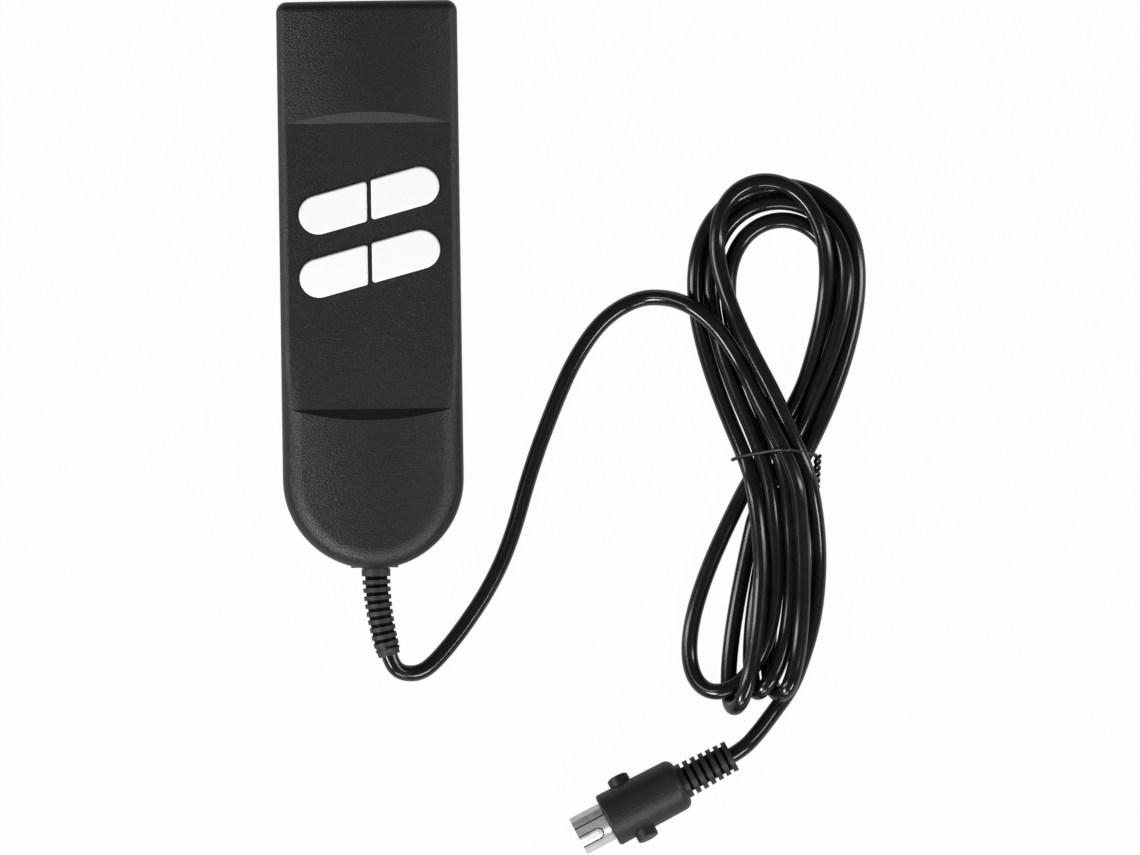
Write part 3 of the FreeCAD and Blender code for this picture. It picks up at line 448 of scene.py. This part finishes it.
@dataclass(frozen=True)
class RingedRubber:
    """Grained rubber in rings, with shade painted dark and dull into the gaps between them.
    """

    colour: Triple
    grain: float
    grain_depth: float = 0.00014
    paling: float = 1.7
    worn_in_grains: float = 25.0
    fine_share: float = 0.6
    worn_share: float = 0.4
    fine_swing: float = 0.14
    worn_swing: float = 0.08
    least_roughness: float = 0.36
    specular: float = 0.45
    # Painted shade: the gaps' near-black colour, dullness and weak reflection stand in for
    # the shadow between the rings.
    gap_painted_shade: Triple = (0.0015, 0.0015, 0.0015)
    gap_roughness: float = 0.5
    gap_specular: float = 0.06

    def cover(self, graph: Graph, gap: Signal) -> bpy.types.Material:
        """Finish a material with this rubber.

        Args:
            graph: the material's graph.
            gap: one in the gaps, where dark shade is painted, and zero elsewhere.

        Returns:
            The material.
        """
        fine = graph.noise(self.grain, FINE_DETAIL)
        worn = graph.noise(self.grain * self.worn_in_grains)
        pale = tuple(part * self.paling for part in self.colour)
        mottle = fine * self.fine_share + worn * self.worn_share
        swing = fine * self.fine_swing + worn * self.worn_swing
        varying = {
            "Base Color": graph.blend(mottle, rgba(self.colour), rgba(pale)),
            "Roughness": swing + self.least_roughness,
            "Normal": graph.bump(fine, self.grain_depth),
        }
        rubber = graph.principled({"Specular IOR Level": self.specular}, varying)
        # The painted shade of the gaps: near-black, dull and hardly reflecting.
        constants = {
            "Base Color": rgba(self.gap_painted_shade),
            "Roughness": self.gap_roughness,
            "Specular IOR Level": self.gap_specular,
        }
        shade = graph.principled(constants, {})
        wired = {0: gap, 1: rubber, 2: shade}
        graph.node_output(graph.node("ShaderNodeMixShader", None, wired))
        return graph.material


@dataclass(frozen=True)
class RibbedRelief:
    """Matte black rings over a core that follows a bent axis, with shade painted dark onto
    the core between the rings.
    """

    name: str = "ribbed_relief"
    colour: Triple = (0.013, 0.013, 0.013)
    start: Triple = (0.4, -94.3, 12.0)
    run: float = 28.7
    swing: tuple[float, float] = (4.0, -1.4)
    gap_radius: float = 4.15
    collar: float = 2.0
    nose: float = 2.4
    grain: float = 0.0004

    def material(self) -> bpy.types.Material:
        """Build the material.

        Returns:
            The material.
        """
        graph = Graph(self.name)
        x, y, z = graph.axes()
        share = (self.start[1] * MM - y) * (1.0 / (self.run * MM))
        square = share * share
        aside = x - (square * (self.swing[0] * MM) + self.start[0] * MM)
        above = z - (square * (self.swing[1] * MM) + self.start[2] * MM)
        # Mask of painted shade: the core inside the gap radius, between the collar and the
        # nose, is painted dark.
        gap = (aside * aside + above * above).root().below(self.gap_radius * MM)
        gap = gap * y.below((self.start[1] - self.collar) * MM)
        gap = gap * (1.0 - y.below((self.start[1] - self.run + self.nose) * MM))
        return RingedRubber(self.colour, self.grain).cover(graph, gap)


@dataclass(frozen=True)
class PlugAxis:
    """Axis of the plug: its mouth, height and heading."""

    mouth: Triple = (66.4, -184.4, 9.25)
    heading: float = 27.0

    def along(self, graph: Graph) -> tuple[Signal, Signal, Signal]:
        """Coordinates in the plug's own directions.

        Args:
            graph: the material's graph.

        Returns:
            The distance along the axis, to its left and upwards, in metres.
        """
        x, y, z = graph.axes()
        turn = math.radians(self.heading)
        dx = x - self.mouth[0] * MM
        dy = y - self.mouth[1] * MM
        along = dx * math.cos(turn) + dy * math.sin(turn)
        left = dy * math.cos(turn) - dx * math.sin(turn)
        return along, left, z - self.mouth[2] * MM


@dataclass(frozen=True)
class GripRubber:
    """Moulded grip with fine grain, and shade painted dark into the gaps between its
    relief's rings.
    """

    name: str = "grip_rubber"
    colour: Triple = (0.006, 0.006, 0.006)
    axis: PlugAxis = PlugAxis()
    relief_start: float = 39.4
    gap_radius: float = 4.9
    grain: float = 0.0006

    def material(self) -> bpy.types.Material:
        """Build the material.

        Returns:
            The material.
        """
        graph = Graph(self.name)
        along, left, up = self.axis.along(graph)
        # Mask of painted shade: the relief's core, past the relief's start, is painted
        # dark.
        gap = (left * left + up * up).root().below(self.gap_radius * MM)
        gap = gap * (1.0 - along.below(self.relief_start * MM))
        return RingedRubber(self.colour, self.grain).cover(graph, gap)


@dataclass(frozen=True)
class StampedPlating:
    """Bright nickel tube with a folded seam and a stamped spring tongue, with shade painted
    dark into the seam and the slot round the tongue.
    """

    name: str = "stamped_nickel"
    bright: Triple = (0.82, 0.81, 0.79)
    dull: Triple = (0.5, 0.49, 0.48)
    # Painted shade: the near-black colour of the seam's crease and of the slot round the
    # tongue.
    painted_crease_shade: Triple = (0.02, 0.02, 0.02)
    roughness: float = 0.27
    metallic: float = 0.7
    axis: PlugAxis = PlugAxis()
    seam_left: float = 2.7
    seam_width: float = 0.22
    tongue_left: float = -2.1
    tongue_half: float = 1.8
    tongue_end: float = 6.4
    slot_width: float = 0.2
    patch: float = 0.003
    patch_swing: float = 0.16
    scratch: float = 0.00025
    scratch_swing: float = 0.06
    line_roughness: float = 0.4
    swing_below: float = 0.08
    tongue_share: float = 0.5
    patch_share: float = 0.25
    scratch_share: float = 0.03
    relief_depth: float = 0.0005
    relief_strength: float = 0.6

    def material(self) -> bpy.types.Material:
        """Build the material.

        Returns:
            The material.
        """
        graph = Graph(self.name)
        along, left, up = self.axis.along(graph)
        beyond = (along - self.tongue_end * MM).at_least(0.0)
        aside = left - self.tongue_left * MM
        round_tip = (beyond * beyond + aside * aside).root()
        slot = (round_tip - self.tongue_half * MM).absolute().below(self.slot_width * MM)
        seam = (left - self.seam_left * MM).absolute().below(self.seam_width * MM)
        # Lines of painted shade along the seam and round the tongue, on the upper half
        # only.
        shaded_lines = slot.at_least(seam) * (1.0 - up.below(0.0))
        patches = graph.noise(self.patch, FINE_DETAIL)
        scratches = graph.noise(self.scratch)
        plate = graph.blend(patches, rgba(self.dull), rgba(self.bright))
        inward = (round_tip - self.tongue_half * MM).at_most(0.0)
        tongue = inward * (1.0 / (self.tongue_half * MM))
        relief = tongue * self.tongue_share + patches * self.patch_share
        relief = relief + scratches * self.scratch_share
        swing = patches * self.patch_swing + scratches * self.scratch_swing
        swing = swing + shaded_lines * self.line_roughness
        varying = {
            "Base Color": graph.blend(shaded_lines, plate, rgba(self.painted_crease_shade)),
            "Roughness": swing + (self.roughness - self.swing_below),
            "Normal": graph.bump(relief, self.relief_depth, self.relief_strength),
        }
        return graph.surface({"Metallic": self.metallic}, varying)


@dataclass(frozen=True)
class Metal:
    """Plated or bare metal with fine drawing marks and dulled patches."""

    name: str
    colour: Triple
    roughness: float
    patch: float = 0.004
    patch_swing: float = 0.14
    mark: float = 0.0003
    mark_swing: float = 0.08
    swing_below: float = 0.08
    dulling: float = 0.72
    relief_depth: float = 0.00002

    def material(self) -> bpy.types.Material:
        """Build the material.

        Returns:
            The material.
        """
        graph = Graph(self.name)
        patches = graph.noise(self.patch, FINE_DETAIL)
        marks = graph.noise(self.mark)
        dull = tuple(part * self.dulling for part in self.colour)
        swing = patches * self.patch_swing + marks * self.mark_swing
        varying = {
            "Base Color": graph.blend(patches, rgba(dull), rgba(self.colour)),
            "Roughness": swing + (self.roughness - self.swing_below),
            "Normal": graph.bump(marks * 0.5 + patches * 0.5, self.relief_depth),
        }
        return graph.surface({"Metallic": 1.0}, varying)


# ---- cord --------------------------------------------------------------------

CORD_DIAMETER = 5.4
CORD_RADIUS = CORD_DIAMETER / 2.0
CORD_RESOLUTION = 6
TIE_RESOLUTION = 4
SPLINE_ORDER = 3

LEAD_ROUTE = (
    (4.4, -123.0, 10.6),
    (5.45, -126.74, 10.23),
    (8.9, -129.4, 8.8),
    (15.0, -129.3, 7.2),
    (20.6, -124.7, 5.6),
    (28.6, -115.1, 4.0),
    (38.2, -101.2, 2.9),
    (45.6, -85.4, 2.7),
    (52.4, -61.6, 2.7),
    (60.9, -39.6, 2.7),
    (68.0, -24.4, 2.7),
    (77.4, -11.8, 2.7),
    (89.0, -5.3, 3.4),
    (99.0, -5.4, 7.6),
)
# The lead's way over the hank's left side and down to the tie.
LEAD_OVER_HANK = (
    (106.0, -8.0, 12.0),
    (111.8, -12.0, 12.6),
    (117.5, -18.2, 11.0),
    (123.6, -28.0, 9.4),
    (128.4, -38.4, 10.5),
    (132.4, -47.0, 12.5),
)
TAIL_ROUTE = (
    (140.6, -130.0, 2.8),
    (137.4, -137.0, 2.7),
    (132.4, -143.6, 3.4),
    (126.6, -151.0, 6.8),
    (121.8, -156.0, 9.0),
    (117.8, -158.2, 9.25),
)


@dataclass(frozen=True)
class Loop:
    """One loop of the hank, on one side of the tie.

    It leaves its crossing on the right, rounds its tip and comes back on the
    left. Heights are (share of the way round, height) pairs.
    """

    name: str
    cross: tuple[float, float]
    half_width: float
    reach: float
    lean: float
    heights: tuple[tuple[float, float], ...]
    points: int = 18
    trim_start: float = 0.045
    trim_end: float = 0.045
    lead_in: tuple[Triple, ...] = ()

    def route(self) -> list[Triple]:
        """Lay the loop out.

        Returns:
            Its points in order, in millimetres.
        """
        shares, levels = zip(*self.heights)
        made = list(self.lead_in)
        run = 1.0 - self.trim_start - self.trim_end
        for index in range(self.points):
            share = self.trim_start + run * index / (self.points - 1)
            turn = math.pi * share
            x = self.cross[0] + self.half_width * math.sin(2.0 * turn)
            x += self.lean * math.sin(turn)
            y = self.cross[1] + self.reach * math.sin(turn)
            made.append((x, y, float(np.interp(share, shares, levels))))
        return made


# In the order in which the cord runs through them, from the housing's end.
LOOPS = (
    Loop("inner_foot", (139.5, -53.4), 5.3, -86.2, -5.6,
         ((0.0, 14.0), (0.2, 11.0), (0.3, 12.4), (0.39, 14.2), (0.42, 13.7),
          (0.45, 12.2), (0.5, 9.0), (0.55, 6.0), (0.58, 4.4), (0.61, 3.2),
          (0.66, 2.7), (1.0, 2.7))),
    Loop("inner_head", (136.4, -59.5), 19.0, 80.0, 1.9,
         ((0.0, 2.7), (0.8, 2.7), (1.0, 8.0))),
    Loop("middle_foot", (137.6, -52.8), 6.2, -85.3, -7.9,
         ((0.0, 9.0), (0.3, 10.5), (0.39, 12.2), (0.42, 11.6), (0.45, 10.3),
          (0.5, 7.4), (0.55, 4.5), (0.58, 3.2), (0.61, 2.7), (0.82, 2.7),
          (0.9, 7.4), (1.0, 8.3)),
         trim_end=0.1),
    Loop("outer_head", (133.5, -76.8), 26.0, 106.7, 1.6,
         ((0.0, 8.4), (0.1, 8.1), (0.24, 2.8), (0.8, 2.7), (0.9, 6.0), (1.0, 12.0))),
    Loop("folded_foot", (135.3, -51.0), 4.5, -91.4, -16.5,
         ((0.0, 13.0), (0.2, 13.6), (0.39, 13.5), (0.42, 12.9), (0.45, 11.4),
          (0.5, 8.1), (0.55, 4.8), (0.58, 3.3), (0.61, 2.7), (0.85, 2.7),
          (1.0, 6.0)),
         trim_start=0.16, trim_end=0.09,
         lead_in=((128.6, -69.1, 12.5), (130.5, -81.5, 13.5))),
    Loop("second_head", (136.0, -66.8), 22.7, 94.0, -1.2,
         ((0.0, 8.0), (0.5, 8.1), (0.75, 7.0), (1.0, 9.0))),
    Loop("wide_foot", (131.7, -54.7), 13.5, -82.6, -18.1,
         ((0.0, 8.1), (0.3, 8.1), (0.45, 8.1), (0.6, 4.0), (0.7, 2.7),
          (0.9, 3.0), (1.0, 6.0))),
    Loop("front_head", (138.2, -50.9), 19.0, 84.0, -6.1,
         ((0.0, 7.4), (0.25, 9.0), (0.5, 13.0), (0.6, 13.8), (0.75, 13.8),
          (0.86, 17.0), (1.0, 14.5))),
)
# The last strand, from the tie along the right side to the tail.
LAST_STRAND = (
    (142.8, -64.0, 13.6),
    (146.2, -80.0, 8.0),
    (147.3, -96.0, 3.4),
    (145.6, -114.0, 2.7),
)


def new_curve(name: str, radius: float, resolution: int) -> bpy.types.Curve:
    """Start a round line.

    Args:
        name: its name.
        radius: its radius in millimetres.
        resolution: how finely it is divided along and around.

    Returns:
        The curve, without a spline.
    """
    curve = bpy.data.curves.new(name, "CURVE")
    curve.dimensions = "3D"
    curve.resolution_u = resolution
    curve.bevel_depth = radius * MM
    curve.bevel_resolution = resolution
    curve.use_fill_caps = True
    return curve


def add_spline(curve: bpy.types.Curve, points: np.ndarray, closed: bool = False) -> None:
    """Add one quadratic spline to a curve.

    Args:
        curve: the curve.
        points: the spline's control points, in millimetres.
        closed: true for a ring, false for a line that reaches both its ends.
    """
    spline = curve.splines.new("NURBS")
    spline.points.add(len(points) - 1)
    for target, point in zip(spline.points, points):
        target.co = (*(point * MM), 1.0)
    spline.order_u = SPLINE_ORDER
    spline.use_cyclic_u = closed
    spline.use_endpoint_u = not closed
    spline.use_smooth = True


@dataclass
class Settling:
    """Lets the hank's turns come to rest on each other and on the floor."""

    spacing: float = CORD_DIAMETER
    floor: float = CORD_RADIUS
    rounds: int = 420
    last_rounds: int = 60
    search_every: int = 12
    search_margin: float = 3.0
    samples_per_span: int = 6
    near_along: float = 11.0
    least_away: float = 0.05
    gain: float = 1.6
    fall: float = 0.035
    home: float = 0.02
    smoothing: float = 0.20
    last_smoothing: float = 0.05
    inside_end: float = 1e-6

    def weights(self, count: int) -> np.ndarray:
        """Weigh every route point in every sample of the clamped quadratic spline.

        Args:
            count: number of route points.

        Returns:
            One row for each sample.
        """
        spans = count - 2
        knots = np.concatenate([[0, 0], np.arange(spans + 1), [spans, spans]]).astype(float)
        steps = np.linspace(0.0, spans - self.inside_end, spans * self.samples_per_span)
        rows = np.zeros((len(steps), count))
        for row, step in enumerate(steps):
            span = int(step)
            a, b, c, d = knots[span + 1 : span + 5]
            left = (c - step) / (c - b)
            right = (step - b) / (c - b)
            rows[row, span] = left * (c - step) / (c - a)
            rows[row, span + 1] = left * (step - a) / (c - a) + right * (d - step) / (d - b)
            rows[row, span + 2] = right * (step - b) / (d - b)
        return rows

    def near_pairs(self, samples: np.ndarray) -> tuple[np.ndarray, np.ndarray]:
        """Find samples that lie near each other but far apart along the cord.

        Args:
            samples: points along the cord.

        Returns:
            The numbers of the first and of the second sample of each pair.
        """
        steps = np.linalg.norm(np.diff(samples, axis=0), axis=1)
        along = np.concatenate([[0.0], np.cumsum(steps)])
        square = (samples ** 2).sum(axis=1)
        away = square[:, None] + square[None, :] - 2.0 * samples @ samples.T
        near = away < (self.spacing + self.search_margin) ** 2
        near &= along[None, :] - along[:, None] > self.near_along
        return np.nonzero(near)

    def settle(self, route: np.ndarray, held: np.ndarray) -> tuple[np.ndarray, np.ndarray]:
        """Push strands that lie in each other apart, for a fixed number of rounds.

        Args:
            route: the points as laid, in millimetres.
            held: true for each point that stays where it is.

        Returns:
            The settled points, and samples of their spline.
        """
        basis = self.weights(len(route))
        share = basis.sum(axis=0)[:, None]
        points = route.copy()
        free = (~held)[:, None]
        count = len(basis)
        first = second = np.zeros(0, int)
        for turn in range(self.rounds):
            samples = basis @ points
            if turn % self.search_every == 0:
                first, second = self.near_pairs(samples)
            gaps = samples[first] - samples[second]
            away = np.linalg.norm(gaps, axis=1)
            depth = np.maximum(self.spacing - away, 0.0)
            push = gaps / np.maximum(away, self.least_away)[:, None]
            push = push * (0.5 * depth)[:, None]
            total = np.zeros((count, 3))
            np.add.at(total, first, push)
            np.add.at(total, second, -push)
            touching = np.bincount(first[depth > 0], minlength=count)
            touching += np.bincount(second[depth > 0], minlength=count)
            total /= np.sqrt(np.maximum(touching, 1))[:, None]
            loose = turn < self.rounds - self.last_rounds
            move = self.gain * (basis.T @ total) / share
            if loose:
                move[:, 2] -= self.fall
                move[:, :2] += self.home * (route[:, :2] - points[:, :2])
            points = points + move * free
            drift = points - route
            middle = 0.5 * (drift[:-2] + drift[2:]) - drift[1:-1]
            amount = self.smoothing if loose else self.last_smoothing
            points[1:-1] += amount * middle * free[1:-1]
            raised = np.maximum(points[:, 2], self.floor)
            points[:, 2] = np.where(held, points[:, 2], raised)
        return points, basis @ points


@dataclass
class Cord:
    """The whole free cord: lead, hank and tail as one spline."""

    settling: Settling = field(default_factory=Settling)
    samples: np.ndarray | None = None
    free_on_lead: int = 2
    free_on_tail: int = 1

    def build(self, material: bpy.types.Material) -> bpy.types.Object:
        """Lay the cord.

        Args:
            material: the jacket's finish.

        Returns:
            The cord.
        """
        route = list(LEAD_ROUTE) + list(LEAD_OVER_HANK)
        for loop in LOOPS:
            route += loop.route()
        route += list(LAST_STRAND) + list(TAIL_ROUTE)
        laid = np.array(route)
        held = np.zeros(len(laid), bool)
        held[: len(LEAD_ROUTE) - self.free_on_lead] = True
        held[self.free_on_tail - len(TAIL_ROUTE) :] = True
        points, self.samples = self.settling.settle(laid, held)

        curve = new_curve("cord", CORD_RADIUS, CORD_RESOLUTION)
        add_spline(curve, points)
        curve.materials.append(material)
        cord = bpy.data.objects.new("cord", curve)
        bpy.context.scene.collection.objects.link(cord)
        log.info("cord: %d route points", len(points))
        return cord


@dataclass
class TwistTie:
    """Plastic-covered wire drawn round the hank and twisted at its right."""

    wire: float = 1.2
    y: float = -57.6
    forward: float = 1.0
    sag: float = 2.0
    sag_reach: float = 12.0
    band: float = 1.2
    hank_left: float = 110.0
    ring_points: int = 36
    twist_clear: float = 0.6
    twist_end: Triple = (147.2, -69.6, 7.0)
    twist_turns: float = 2.6
    twist_radius: float = 0.75
    twist_points: int = 40

    def ring(self, samples: np.ndarray) -> np.ndarray:
        """Closed line that hugs the strands where they pass the tie.

        Args:
            samples: points along the cord, in millimetres.

        Returns:
            Points round the bundle.
        """
        near = np.abs(samples[:, 1] - self.y) < self.band
        near &= samples[:, 0] > self.hank_left
        bundle = samples[near][:, [0, 2]]
        centre = bundle.mean(axis=0)
        made = []
        for index in range(self.ring_points):
            angle = 2.0 * math.pi * index / self.ring_points
            way = np.array([math.cos(angle), math.sin(angle)])
            out = ((bundle - centre) @ way).max() + CORD_RADIUS + self.wire / 2.0
            made.append((out, way))
        points = []
        for index, (out, way) in enumerate(made):
            after, onward = made[(index + 1) % len(made)]
            corner = np.linalg.solve(np.array([way, onward]), np.array([out, after]))
            x, z = centre + corner
            swing = (x - centre[0]) / self.sag_reach
            y = self.y + self.forward - self.sag * swing * swing
            points.append((x, y, max(z, self.wire / 2.0)))
        return np.array(points)

    def twist(self, start: np.ndarray, phase: float) -> np.ndarray:
        """Wind one of the two wires of the twisted tail.

        Args:
            start: where the tail leaves the ring, in millimetres.
            phase: where the wire starts round the tail, in radians.

        Returns:
            Points along the wire.
        """
        run = np.array(self.twist_end) - start
        side = np.cross(run, (0.0, 0.0, 1.0))
        side /= np.linalg.norm(side)
        rise = np.cross(side, run) / np.linalg.norm(run)
        points = []
        for index in range(self.twist_points):
            share = index / (self.twist_points - 1)
            angle = phase + 2.0 * math.pi * self.twist_turns * share
            offset = side * math.cos(angle) + rise * math.sin(angle)
            points.append(start + run * share + offset * self.twist_radius)
        return np.array(points)

    def build(self, samples: np.ndarray, material: bpy.types.Material) -> bpy.types.Object:
        """Make the tie.

        Args:
            samples: points along the cord, in millimetres.
            material: its finish.

        Returns:
            The tie, as a mesh.
        """
        ring = self.ring(samples)
        curve = new_curve("twist_tie_wire", self.wire / 2.0, TIE_RESOLUTION)
        add_spline(curve, ring, closed=True)
        start = ring[int(np.argmax(ring[:, 0]))] + np.array([self.twist_clear, 0.0, 0.0])
        for phase in (0.0, math.pi):
            add_spline(curve, self.twist(start, phase))
        tie = bpy.data.objects.new("twist_tie_wire", curve)
        bpy.context.scene.collection.objects.link(tie)
        bpy.ops.object.select_all(action="DESELECT")
        tie.select_set(True)
        bpy.context.view_layer.objects.active = tie
        bpy.ops.object.convert(target="MESH")
        bpy.ops.object.shade_smooth()
        tie = bpy.context.view_layer.objects.active
        tie.data.materials.clear()
        tie.data.materials.append(material)
        log.info("twist tie: loop of %d points", len(ring))
        return tie


# ---- carried-over nodes ------------------------------------------------------


@dataclass(frozen=True)
class Dressing:
    """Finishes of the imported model's own nodes, by material slot."""

    finishes: tuple[tuple[str, Any], ...] = (
        ("housing", SparkedPlastic()),
        ("key", Moulding("white_key", (0.885, 0.885, 0.88), 0.38,
                         grain=0.0006, grain_depth=0.000008, variation=0.015)),
        ("switch_body", Moulding("black_switch", (0.02, 0.02, 0.02), 0.45)),
        ("plunger", Moulding("grey_plunger", (0.12, 0.12, 0.12), 0.4)),
        ("dome", Metal("sprung_steel", (0.62, 0.62, 0.6), 0.3)),
        ("switch_steel", Metal("tinned_steel", (0.66, 0.66, 0.65), 0.3)),
        ("board", Moulding("solder_mask", (0.03, 0.19, 0.07), 0.3,
                           grain=0.0008, grain_depth=0.00001)),
        ("screw", Metal("zinc_plated_steel", (0.55, 0.55, 0.56), 0.32)),
        ("connector", Moulding("natural_nylon", (0.78, 0.75, 0.66), 0.45)),
        ("conductor", Moulding("red_insulation", (0.5, 0.05, 0.04), 0.35)),
        ("nylon", Moulding("tie_nylon", (0.74, 0.72, 0.66), 0.42)),
        ("jacket", GlossJacket()),
        ("relief", RibbedRelief()),
        ("twist_tie", Moulding("tie_plastic", (0.009, 0.009, 0.009), 0.3,
                               grain=0.0005, variation=0.3)),
        ("plug_grip", GripRubber()),
        ("plug_plating", StampedPlating()),
        ("plug_insert", Moulding("black_insert", (0.015, 0.015, 0.015), 0.45)),
        ("plug_pin", Metal("plated_pin", (0.74, 0.68, 0.52), 0.22)),
    )

    def materials(self) -> dict[str, bpy.types.Material]:
        """Every finish, by slot."""
        return {slot: finish.material() for slot, finish in self.finishes}

    def dress(self, made: dict[str, bpy.types.Material]) -> None:
        """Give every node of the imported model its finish.

        Args:
            made: the materials by slot.
        """
        for part in frame["record"]["subparts"]:
            node = frame["nodes"][part["node"]]
            material = made[part["material_slot"]]
            if not node.material_slots:
                node.data.materials.append(material)
            for place in node.material_slots:
                place.material = material
            log.info("%s: %s", part["node"], material.name)


# ---- studio ------------------------------------------------------------------


@dataclass(frozen=True)
class Lamp:
    """One soft box."""

    name: str
    place: Triple
    aim: Triple
    size: tuple[float, float]
    power: float

    def build(self) -> None:
        """Hang the lamp."""
        data = bpy.data.lights.new(self.name, "AREA")
        data.shape = "RECTANGLE"
        data.size, data.size_y = self.size
        data.energy = self.power
        lamp = bpy.data.objects.new(self.name, data)
        lamp.location = self.place
        lamp.rotation_mode = "QUATERNION"
        towards = Vector(self.aim) - Vector(self.place)
        lamp.rotation_quaternion = towards.to_track_quat("-Z", "Y")
        bpy.context.scene.collection.objects.link(lamp)


@dataclass(frozen=True)
class Studio:
    """Floor, lamps, world and camera."""

    centre: tuple[float, float] = (0.0656, -0.0483)
    height: float = 5.0
    view_width: float = 0.38
    turn: float = -0.0146
    sensor: float = 36.0
    nearest: float = 0.01
    farthest: float = 20.0
    floor_size: float = 8.0
    floor_colour: float = 0.45
    floor_glow: float = 0.975
    mirrored_glow: float = 0.4
    world_level: float = 0.1
    lamps: tuple[Lamp, ...] = (
        Lamp("front_left_box", (-0.82, -0.80, 0.88), (0.02, -0.08, 0.0), (0.6, 0.22), 14.0),
        Lamp("front_right_box", (0.80, -0.85, 0.86), (0.04, -0.08, 0.0), (0.6, 0.22), 8.6),
        Lamp("front_box", (0.0, -1.20, 0.60), (0.02, -0.02, 0.0), (0.6, 0.2), 4.5),
        Lamp("right_box", (1.05, 0.05, 0.62), (0.06, -0.05, 0.0), (0.14, 0.9), 4.0),
        Lamp("left_box", (-0.95, 0.05, 0.62), (0.06, -0.05, 0.0), (0.14, 0.9), 4.0),
    )

    def build_camera(self) -> None:
        """Set the camera straight above the object."""
        data = bpy.data.cameras.new("camera")
        data.sensor_width = self.sensor
        data.lens = data.sensor_width * self.height / self.view_width
        data.clip_start = self.nearest
        data.clip_end = self.farthest
        camera = bpy.data.objects.new("camera", data)
        camera.location = (*self.centre, self.height)
        camera.rotation_euler = (0.0, 0.0, self.turn)
        bpy.context.scene.collection.objects.link(camera)
        bpy.context.scene.camera = camera

    def build_floor(self) -> None:
        """Lay a plain white floor that keeps the object's shadow."""
        bpy.ops.object.select_all(action="DESELECT")
        bpy.ops.mesh.primitive_plane_add(size=self.floor_size, location=(0.0, 0.0, 0.0))
        floor = bpy.context.view_layer.objects.active
        floor.name = "floor"
        graph = Graph("white_floor")
        direct = graph.node("ShaderNodeLightPath", output="Is Camera Ray")
        mirrored = graph.node("ShaderNodeLightPath", output="Is Glossy Ray")
        through = graph.node("ShaderNodeLightPath", output="Is Transmission Ray")
        seen = direct.at_least(through).at_least(mirrored * self.mirrored_glow)
        tone = self.floor_colour
        matte = graph.node("ShaderNodeBsdfDiffuse", None, {"Color": rgba((tone,) * 3)})
        glow = graph.node("ShaderNodeEmission", None, {"Color": WHITE, "Strength": 1.0})
        wired = {0: seen * self.floor_glow, 1: matte, 2: glow}
        graph.node_output(graph.node("ShaderNodeMixShader", None, wired))
        floor.data.materials.append(graph.material)

    def build_world(self) -> None:
        """Make the surroundings: white to the camera, dim and even as light."""
        world = bpy.data.worlds.new("plain_world")
        world.use_nodes = True
        nodes = world.node_tree.nodes
        links = world.node_tree.links
        nodes.clear()
        path = nodes.new("ShaderNodeLightPath")
        dim = nodes.new("ShaderNodeBackground")
        dim.inputs["Color"].default_value = WHITE
        dim.inputs["Strength"].default_value = self.world_level
        white = nodes.new("ShaderNodeBackground")
        white.inputs["Color"].default_value = WHITE
        mixed = nodes.new("ShaderNodeMixShader")
        output = nodes.new("ShaderNodeOutputWorld")
        links.new(path.outputs["Is Camera Ray"], mixed.inputs[0])
        links.new(dim.outputs[0], mixed.inputs[1])
        links.new(white.outputs[0], mixed.inputs[2])
        links.new(mixed.outputs[0], output.inputs["Surface"])
        bpy.context.scene.world = world

    def build(self) -> None:
        """Set up the floor, the lamps and the world."""
        self.build_floor()
        self.build_world()
        for lamp in self.lamps:
            lamp.build()
        bpy.context.scene.view_settings.view_transform = "Standard"


def main() -> None:
    """Build the whole scene in order."""
    logging.basicConfig(level=logging.INFO, format="%(message)s")
    studio = Studio()
    studio.build_camera()
    dressing = Dressing()
    made = dressing.materials()

    layer = Cord()
    cord = layer.build(made[Slot.JACKET.value])
    tie = TwistTie().build(layer.samples, made[Slot.TWIST_TIE.value])
    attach(cord, Body.HOUSING.value)
    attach(tie, Body.HOUSING.value)
    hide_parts("cord_lead", "cord_hank", "cord_tail")
    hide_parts("twist_tie")
    on_cord = [tie, "plug_body", "plug_shell", "plug_insert", "plug_pins"]
    on_cord += ["plug_cord_end", "plug_conductors"]

    dressing.dress(made)
    studio.build()


if __name__ == "__main__":
    main()
